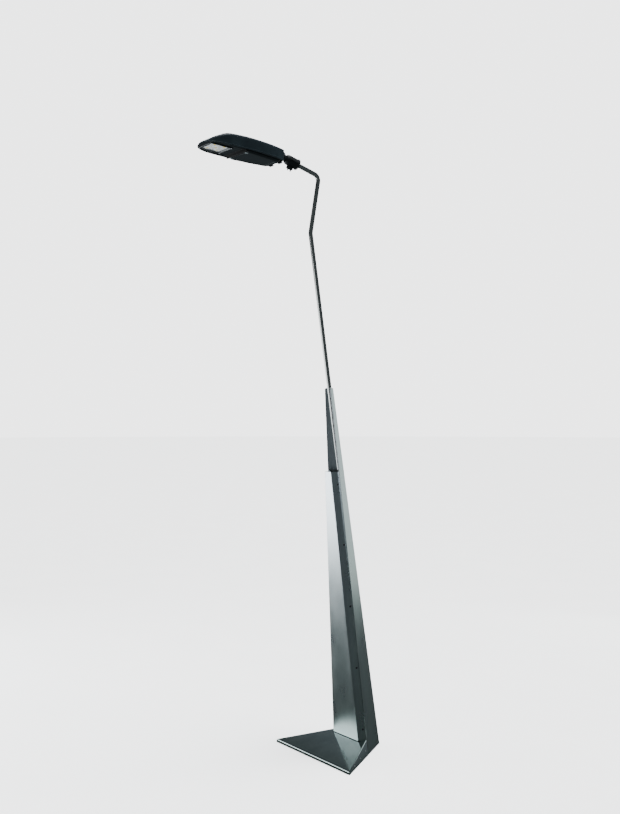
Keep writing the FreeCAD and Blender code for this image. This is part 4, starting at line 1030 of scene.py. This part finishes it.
class LAMP_OT_light_module(bpy.types.Operator):
    """The light module in the nose: plate, frame, reflector cups and chips"""

    bl_idname = "lamp.light_module"
    bl_label = "Light module"

    CHIPS = [(0.0, WINDOW_CENTRE)]
    CHIPS += [(sx * 0.03536, WINDOW_CENTRE + sy * 0.02548) for sx in (-1, 1) for sy in (-1, 1)]

    def execute(self, context):
        self.make_plate()
        self.make_frame()
        self.make_reflector()
        self.make_chips()
        return {"FINISHED"}

    def make_plate(self):
        """The carrier plate that closes the nose, and black strips at its rear: painted shade in the slot between
        the plate and the gear lid.
        """
        bm = bmesh.new()
        rear, nose = -0.2405, -0.4315
        half = [(0.1010, rear), (0.1012, -0.262), (0.1005, -0.300)]
        for i in range(1, 15):
            half.append(nose_point(0.0995, -0.300, nose, i / 15))
        points = half + [(0.0, nose)] + [(-x, y) for x, y in reversed(half)]
        outer = [bm.verts.new((x, y, -0.0408)) for x, y in points]
        rim = [bm.edges.new((outer[i], outer[(i + 1) % len(outer)])) for i in range(len(outer))]
        hole = [(-0.053, -0.406), (0.053, -0.406), (0.053, -0.306), (-0.053, -0.306)]
        inner = [bm.verts.new((x, y, -0.0408)) for x, y in hole]
        opening = [bm.edges.new((inner[i], inner[(i + 1) % 4])) for i in range(4)]
        bmesh.ops.triangle_fill(bm, use_beauty=True, edges=rim + opening, normal=(0, 0, -1))
        look_along(bm, (0, 0, -1))
        bmesh.ops.solidify(bm, geom=bm.faces[:], thickness=0.0035)
        bmesh.ops.transform(bm, matrix=HEAD, verts=bm.verts[:])
        for sign in (-1, 1):
            x = sign * 0.084
            slab(bm, (x - 0.0035, -0.330, -0.0424), (x + 0.0035, -0.262, -0.0400), HEAD, 0.0010)
        piece(bm, "module_carrier", "head", ["module_plate"], "anthracite")
        # Painted shade: black strips fill the slot between the plate and the gear lid and cover the lid's front
        # wall.
        bm = bmesh.new()
        slab(bm, (-0.0985, -0.2400, -0.0448), (0.0985, -0.2330, -0.0395), HEAD, 0.0012)
        slab(bm, (-0.0930, -0.2440, -0.0515), (0.0930, -0.2362, -0.0400), HEAD, 0.0012)
        slab(bm, (-0.0930, -0.2590, -0.0424), (0.0930, -0.2405, -0.0400), HEAD, 0.0008)
        piece(bm, "lid_slot_shade_strips", "head", [], "seal_rubber")

    def make_frame(self):
        """The raised frame round the window, bevelled towards the glass."""
        bm = bmesh.new()
        centre = WINDOW_CENTRE
        rings = [(0.0630, 0.0600, CARRIER_LOW), (0.0630, 0.0600, -0.0440), (0.0614, 0.0584, FRAME_LOW),
                 (0.0555, 0.0525, FRAME_LOW), (0.0510, 0.0480, CARRIER_LOW), (0.0630, 0.0600, CARRIER_LOW)]
        wide, deep, level = rings[0]
        signs = ((-1, -1), (1, -1), (1, 1), (-1, 1))
        verts = rounded_face(bm, [(sx * wide, centre + sy * deep, level) for sx, sy in signs], 0.009)
        face = verts[0].link_faces[0]
        edges = list(face.edges)
        bmesh.ops.delete(bm, geom=[face], context="FACES_ONLY")
        for (was_wide, was_deep, _), (wide, deep, level) in zip(rings, rings[1:]):
            grow = Vector((wide / was_wide, deep / was_deep))
            _, edges = raised(
                bm, edges, lambda co: Vector((co.x * grow.x, centre + (co.y - centre) * grow.y, level))
            )
        bmesh.ops.remove_doubles(bm, verts=bm.verts[:], dist=1e-6)
        bmesh.ops.transform(bm, matrix=HEAD, verts=bm.verts[:])
        piece(bm, "window_bezel", "head", ["window_frame"], "anthracite", limit=math.radians(25))

    def make_reflector(self):
        """The white reflector: a plate with a flared cup round each chip."""
        bm = bmesh.new()
        slab(bm, (-0.0515, -0.4035, -0.0386), (0.0515, -0.3085, -0.0380), HEAD, 0.0001)
        cup = [(0.0060, -0.0388), (0.0118, -0.0419), (0.0122, -0.0420), (0.0126, -0.0416), (0.0128, -0.0384)]
        for x, y in self.CHIPS:
            turned(bm, cup, HEAD @ Matrix.Translation((x, y, 0.0)), 36)
        for x, y in ((0.0, -0.3215), (0.0, -0.3905), (-0.0350, -0.356), (0.0350, -0.356)):
            slab(bm, (x - 0.004, y - 0.0055, -0.0412), (x + 0.004, y + 0.0055, -0.0384), HEAD, 0.0010)
        piece(bm, "reflector_cups", "head", ["reflector"], "reflector_white")

    def make_chips(self):
        """A yellow dome at each place."""
        bm = bmesh.new()
        dome = [(0.0052, -0.0380), (0.0054, -0.0388), (0.0050, -0.0400), (0.0038, -0.0411), (0.0020, -0.0417),
                (0.0, -0.0419)]
        for x, y in self.CHIPS:
            place = HEAD @ Matrix.Translation((x, y, 0.0))
            turned(bm, [(0.0, -0.0380)] + dome, place, 28)
        piece(bm, "chip_domes", "head", ["led_chips"], "chip_yellow")


class LAMP_OT_gear_lid(bpy.types.Operator):
    """The hinged lid under the head's rear, and its two spring clips"""

    bl_idname = "lamp.gear_lid"
    bl_label = "Gear lid"

    def execute(self, context):
        corner = context.scene.lamp_head.lid_corner
        self.make_lid(corner)
        self.make_clips()
        return {"FINISHED"}

    def outline(self, inset):
        front = 0.232 - inset * 0.25
        return [(-(0.066 - inset), -(0.034 + inset)), (0.066 - inset, -(0.034 + inset)),
                (0.096 - inset, -front), (-(0.096 - inset), -front)]

    def make_lid(self, corner):
        bm = bmesh.new()
        levels = ((0.0002, -0.0437), (0.0012, -0.0452), (0.0062, -0.0503), (0.0078, -0.0516),
                  (0.0100, -0.0520))
        loops = []
        for inset, level in levels:
            verts = rounded_face(bm, [(x, y, level) for x, y in self.outline(inset)], corner, 8)
            loops.append(verts[0].link_faces[0])
        edges = [list(face.edges) for face in loops]
        bmesh.ops.delete(bm, geom=loops[:-1], context="FACES_ONLY")
        for first, second in zip(edges, edges[1:]):
            bmesh.ops.bridge_loops(bm, edges=first + second)
        floor = max(bm.faces, key=lambda face: face.calc_area())
        bmesh.ops.inset_individual(bm, faces=[floor], thickness=0.012, depth=0.0)
        bmesh.ops.inset_individual(bm, faces=[floor], thickness=0.0012, depth=0.0)
        for vert in floor.verts:
            vert.co.z += 0.0009
        look_along(bm, (0, 0, -1))
        bmesh.ops.solidify(bm, geom=bm.faces[:], thickness=0.0023)
        bmesh.ops.transform(bm, matrix=HEAD, verts=bm.verts[:])
        axis = Matrix.Translation(HINGE) @ Matrix.Rotation(-HEAD_TILT, 4, "X")
        barrel = [(0.00205, 0.0), (0.0036, 0.0), (0.0040, 0.0004), (0.0040, 0.0096), (0.0036, 0.0100),
                  (0.00205, 0.0100)]
        for x in (-0.044, 0.034):
            turned(bm, barrel, axis @ Matrix.Translation((x, 0.0, 0.0)) @ ACROSS, 32)
            slab(bm, (x, -0.0385, -0.0515), (x + 0.010, -0.0262, -0.0442), HEAD, 0.0010)
        for x in (-0.030, 0.0, 0.030):
            slab(bm, (x - 0.0010, -0.205, -0.0497), (x + 0.0010, -0.070, -0.0470), HEAD, 0.0004)
        piece(bm, "gear_lid", "gear_cover", ["gear_cover"], "anthracite", limit=math.radians(30))

    def make_clips(self):
        bm = bmesh.new()
        for side in (-1, 1):
            x = side * CLIP_X
            path = [(-0.2218, -0.0522), (-0.2330, -0.0522), (-0.2345, -0.0515), (-0.2349, -0.0498),
                    (-0.2349, -0.0462)]
            rows = [[bm.verts.new((x + offset, y, z)) for y, z in path] for offset in (-0.0078, 0.0078)]
            for i in range(len(path) - 1):
                bm.faces.new((rows[0][i], rows[0][i + 1], rows[1][i + 1], rows[1][i]))
        bmesh.ops.recalc_face_normals(bm, faces=bm.faces[:])
        bmesh.ops.solidify(bm, geom=bm.faces[:], thickness=0.0010)
        bmesh.ops.recalc_face_normals(bm, faces=bm.faces[:])
        soften(bm, folds(bm, math.radians(60)), 0.0003)
        bmesh.ops.transform(bm, matrix=HEAD, verts=bm.verts[:])
        head = [(0.0030, 0.0), (0.0029, 0.0008), (0.0022, 0.0016), (0.0010, 0.0020), (0.0, 0.0021)]
        down = Matrix.Rotation(math.pi, 4, "X")
        for side in (-1, 1):
            place = HEAD @ Matrix.Translation((side * CLIP_X, -0.2245, -0.0526)) @ down
            turned(bm, [(0.0, 0.0)] + head, place, 24)
            x = side * CLIP_X
            slab(bm, (x - 0.0052, -0.2322, -0.0536), (x + 0.0052, -0.2292, -0.0524), HEAD, 0.0005)
        piece(bm, "spring_clips", "gear_cover", ["cover_clips"], "clip_grey")


class LAMP_OT_gear(bpy.types.Operator):
    """What the head holds behind the gear lid, and its gland and vent"""

    bl_idname = "lamp.gear"
    bl_label = "Head gear"

    def execute(self, context):
        bm = bmesh.new()
        slab(bm, (-0.034, -0.220, -0.0355), (0.034, -0.102, -0.0145), HEAD, 0.003)
        for y in (-0.2215, -0.1005):
            slab(bm, (-0.024, y - 0.0005, -0.0165), (0.024, y + 0.0005, -0.0143), HEAD, 0.0003)
        slab(bm, (-0.026, -0.196, -0.0360), (0.026, -0.126, -0.0352), HEAD, 0.0003)
        for y in (-0.213, -0.109):
            for i in range(5):
                x = -0.020 + 0.010 * i
                slab(bm, (x - 0.0034, y - 0.0040, -0.0360), (x + 0.0034, y + 0.0040, -0.0350), HEAD, 0.0003)
        piece(bm, "driver_case", "head", ["led_driver"], "gear_plastic")
        bm = bmesh.new()
        for i in range(4):
            x = -0.0165 + 0.011 * i
            slab(bm, (x - 0.0052, -0.0918, -0.0275), (x + 0.0052, -0.0742, -0.0143), HEAD, 0.0008)
            slab(bm, (x - 0.0042, -0.0880, -0.0300), (x + 0.0042, -0.0780, -0.0272), HEAD, 0.0008)
        piece(bm, "terminal_strip", "head", ["head_terminals"], "gear_plastic")
        bm = bmesh.new()
        slab(bm, (-0.0200, -0.0695, -0.0320), (0.0200, -0.0505, -0.0143), HEAD, 0.0015)
        slab(bm, (-0.0150, -0.0660, -0.0338), (0.0150, -0.0540, -0.0318), HEAD, 0.0008)
        piece(bm, "surge_arrester", "head", ["surge_protector"], "gear_plastic", "knob_red")
        wall = HEAD @ Matrix.Translation((0.048, -0.022, -0.014)) @ Matrix.Rotation(math.pi / 2, 4, "X")
        bm = bmesh.new()
        drum(bm, 0.0098, -0.0068, -0.0004, wall, 6, 0.0006)
        gland = [(0.0035, -0.0158), (0.0060, -0.0158), (0.0070, -0.0150), (0.0080, -0.0080),
                 (0.0080, -0.0060), (0.0060, -0.0040), (0.0060, 0.0088), (0.0035, 0.0088)]
        turned(bm, gland, wall, 32)
        for i in range(12):
            turn = Matrix.Rotation(math.radians(30 * i), 4, "Z")
            slab(bm, (0.0070, -0.0006, -0.0140), (0.0082, 0.0006, -0.0082), wall @ turn, 0.0003)
        piece(bm, "cable_gland", "head", ["head_gland"], "gland_plastic")
        wall = HEAD @ Matrix.Translation((-0.048, -0.022, -0.014)) @ BACKWARDS
        bm = bmesh.new()
        vent = [(0.0, 0.0), (0.0070, 0.0), (0.0070, 0.0034), (0.0062, 0.0044), (0.0050, 0.0052),
                (0.0044, 0.0055), (0.0, 0.0055)]
        turned(bm, vent, wall, 36)
        for i in range(8):
            turn = Matrix.Rotation(math.radians(45 * i), 4, "Z")
            slab(bm, (0.0060, -0.0008, 0.0006), (0.0070, 0.0008, 0.0036), wall @ turn, 0.0002)
        piece(bm, "vent_cap", "head", ["pressure_vent"], "gland_plastic")
        return {"FINISHED"}


OPERATORS = (
    LAMP_OT_studio,
    LAMP_OT_finishes,
    LAMP_OT_post_shell,
    LAMP_OT_door,
    LAMP_OT_foot,
    LAMP_OT_mast,
    LAMP_OT_adapter,
    LAMP_OT_tilt_joint,
    LAMP_OT_screws,
    LAMP_OT_head,
    LAMP_OT_light_module,
    LAMP_OT_gear_lid,
    LAMP_OT_gear,
)


class LAMP_PT_panel(bpy.types.Panel):
    """Lists the lamp's settings and the steps that build it"""

    bl_idname = "LAMP_PT_panel"
    bl_label = "Street lamp post"
    bl_space_type = "VIEW_3D"
    bl_region_type = "UI"
    bl_category = "Lamp post"

    def draw(self, context):
        for name in SETTINGS:
            group = getattr(context.scene, name)
            box = self.layout.box()
            for field in type(group).__annotations__:
                box.prop(group, field)
        for operator in OPERATORS:
            self.layout.operator(operator.bl_idname)


SETTINGS = {
    "lamp_post": PostSettings,
    "lamp_head": HeadSettings,
    "lamp_colours": ColourSettings,
    "lamp_studio": StudioSettings,
}
CLASSES = (*SETTINGS.values(), *OPERATORS, LAMP_PT_panel)


def register():
    for item in CLASSES:
        bpy.utils.register_class(item)
    for name, group in SETTINGS.items():
        setattr(bpy.types.Scene, name, PointerProperty(type=group))


def unregister():
    for name in SETTINGS:
        delattr(bpy.types.Scene, name)
    for item in reversed(CLASSES):
        bpy.utils.unregister_class(item)


def main():
    register()
    for operator in OPERATORS:
        group, name = operator.bl_idname.split(".")
        getattr(getattr(bpy.ops, group), name)()


if __name__ == "__main__":
    main()
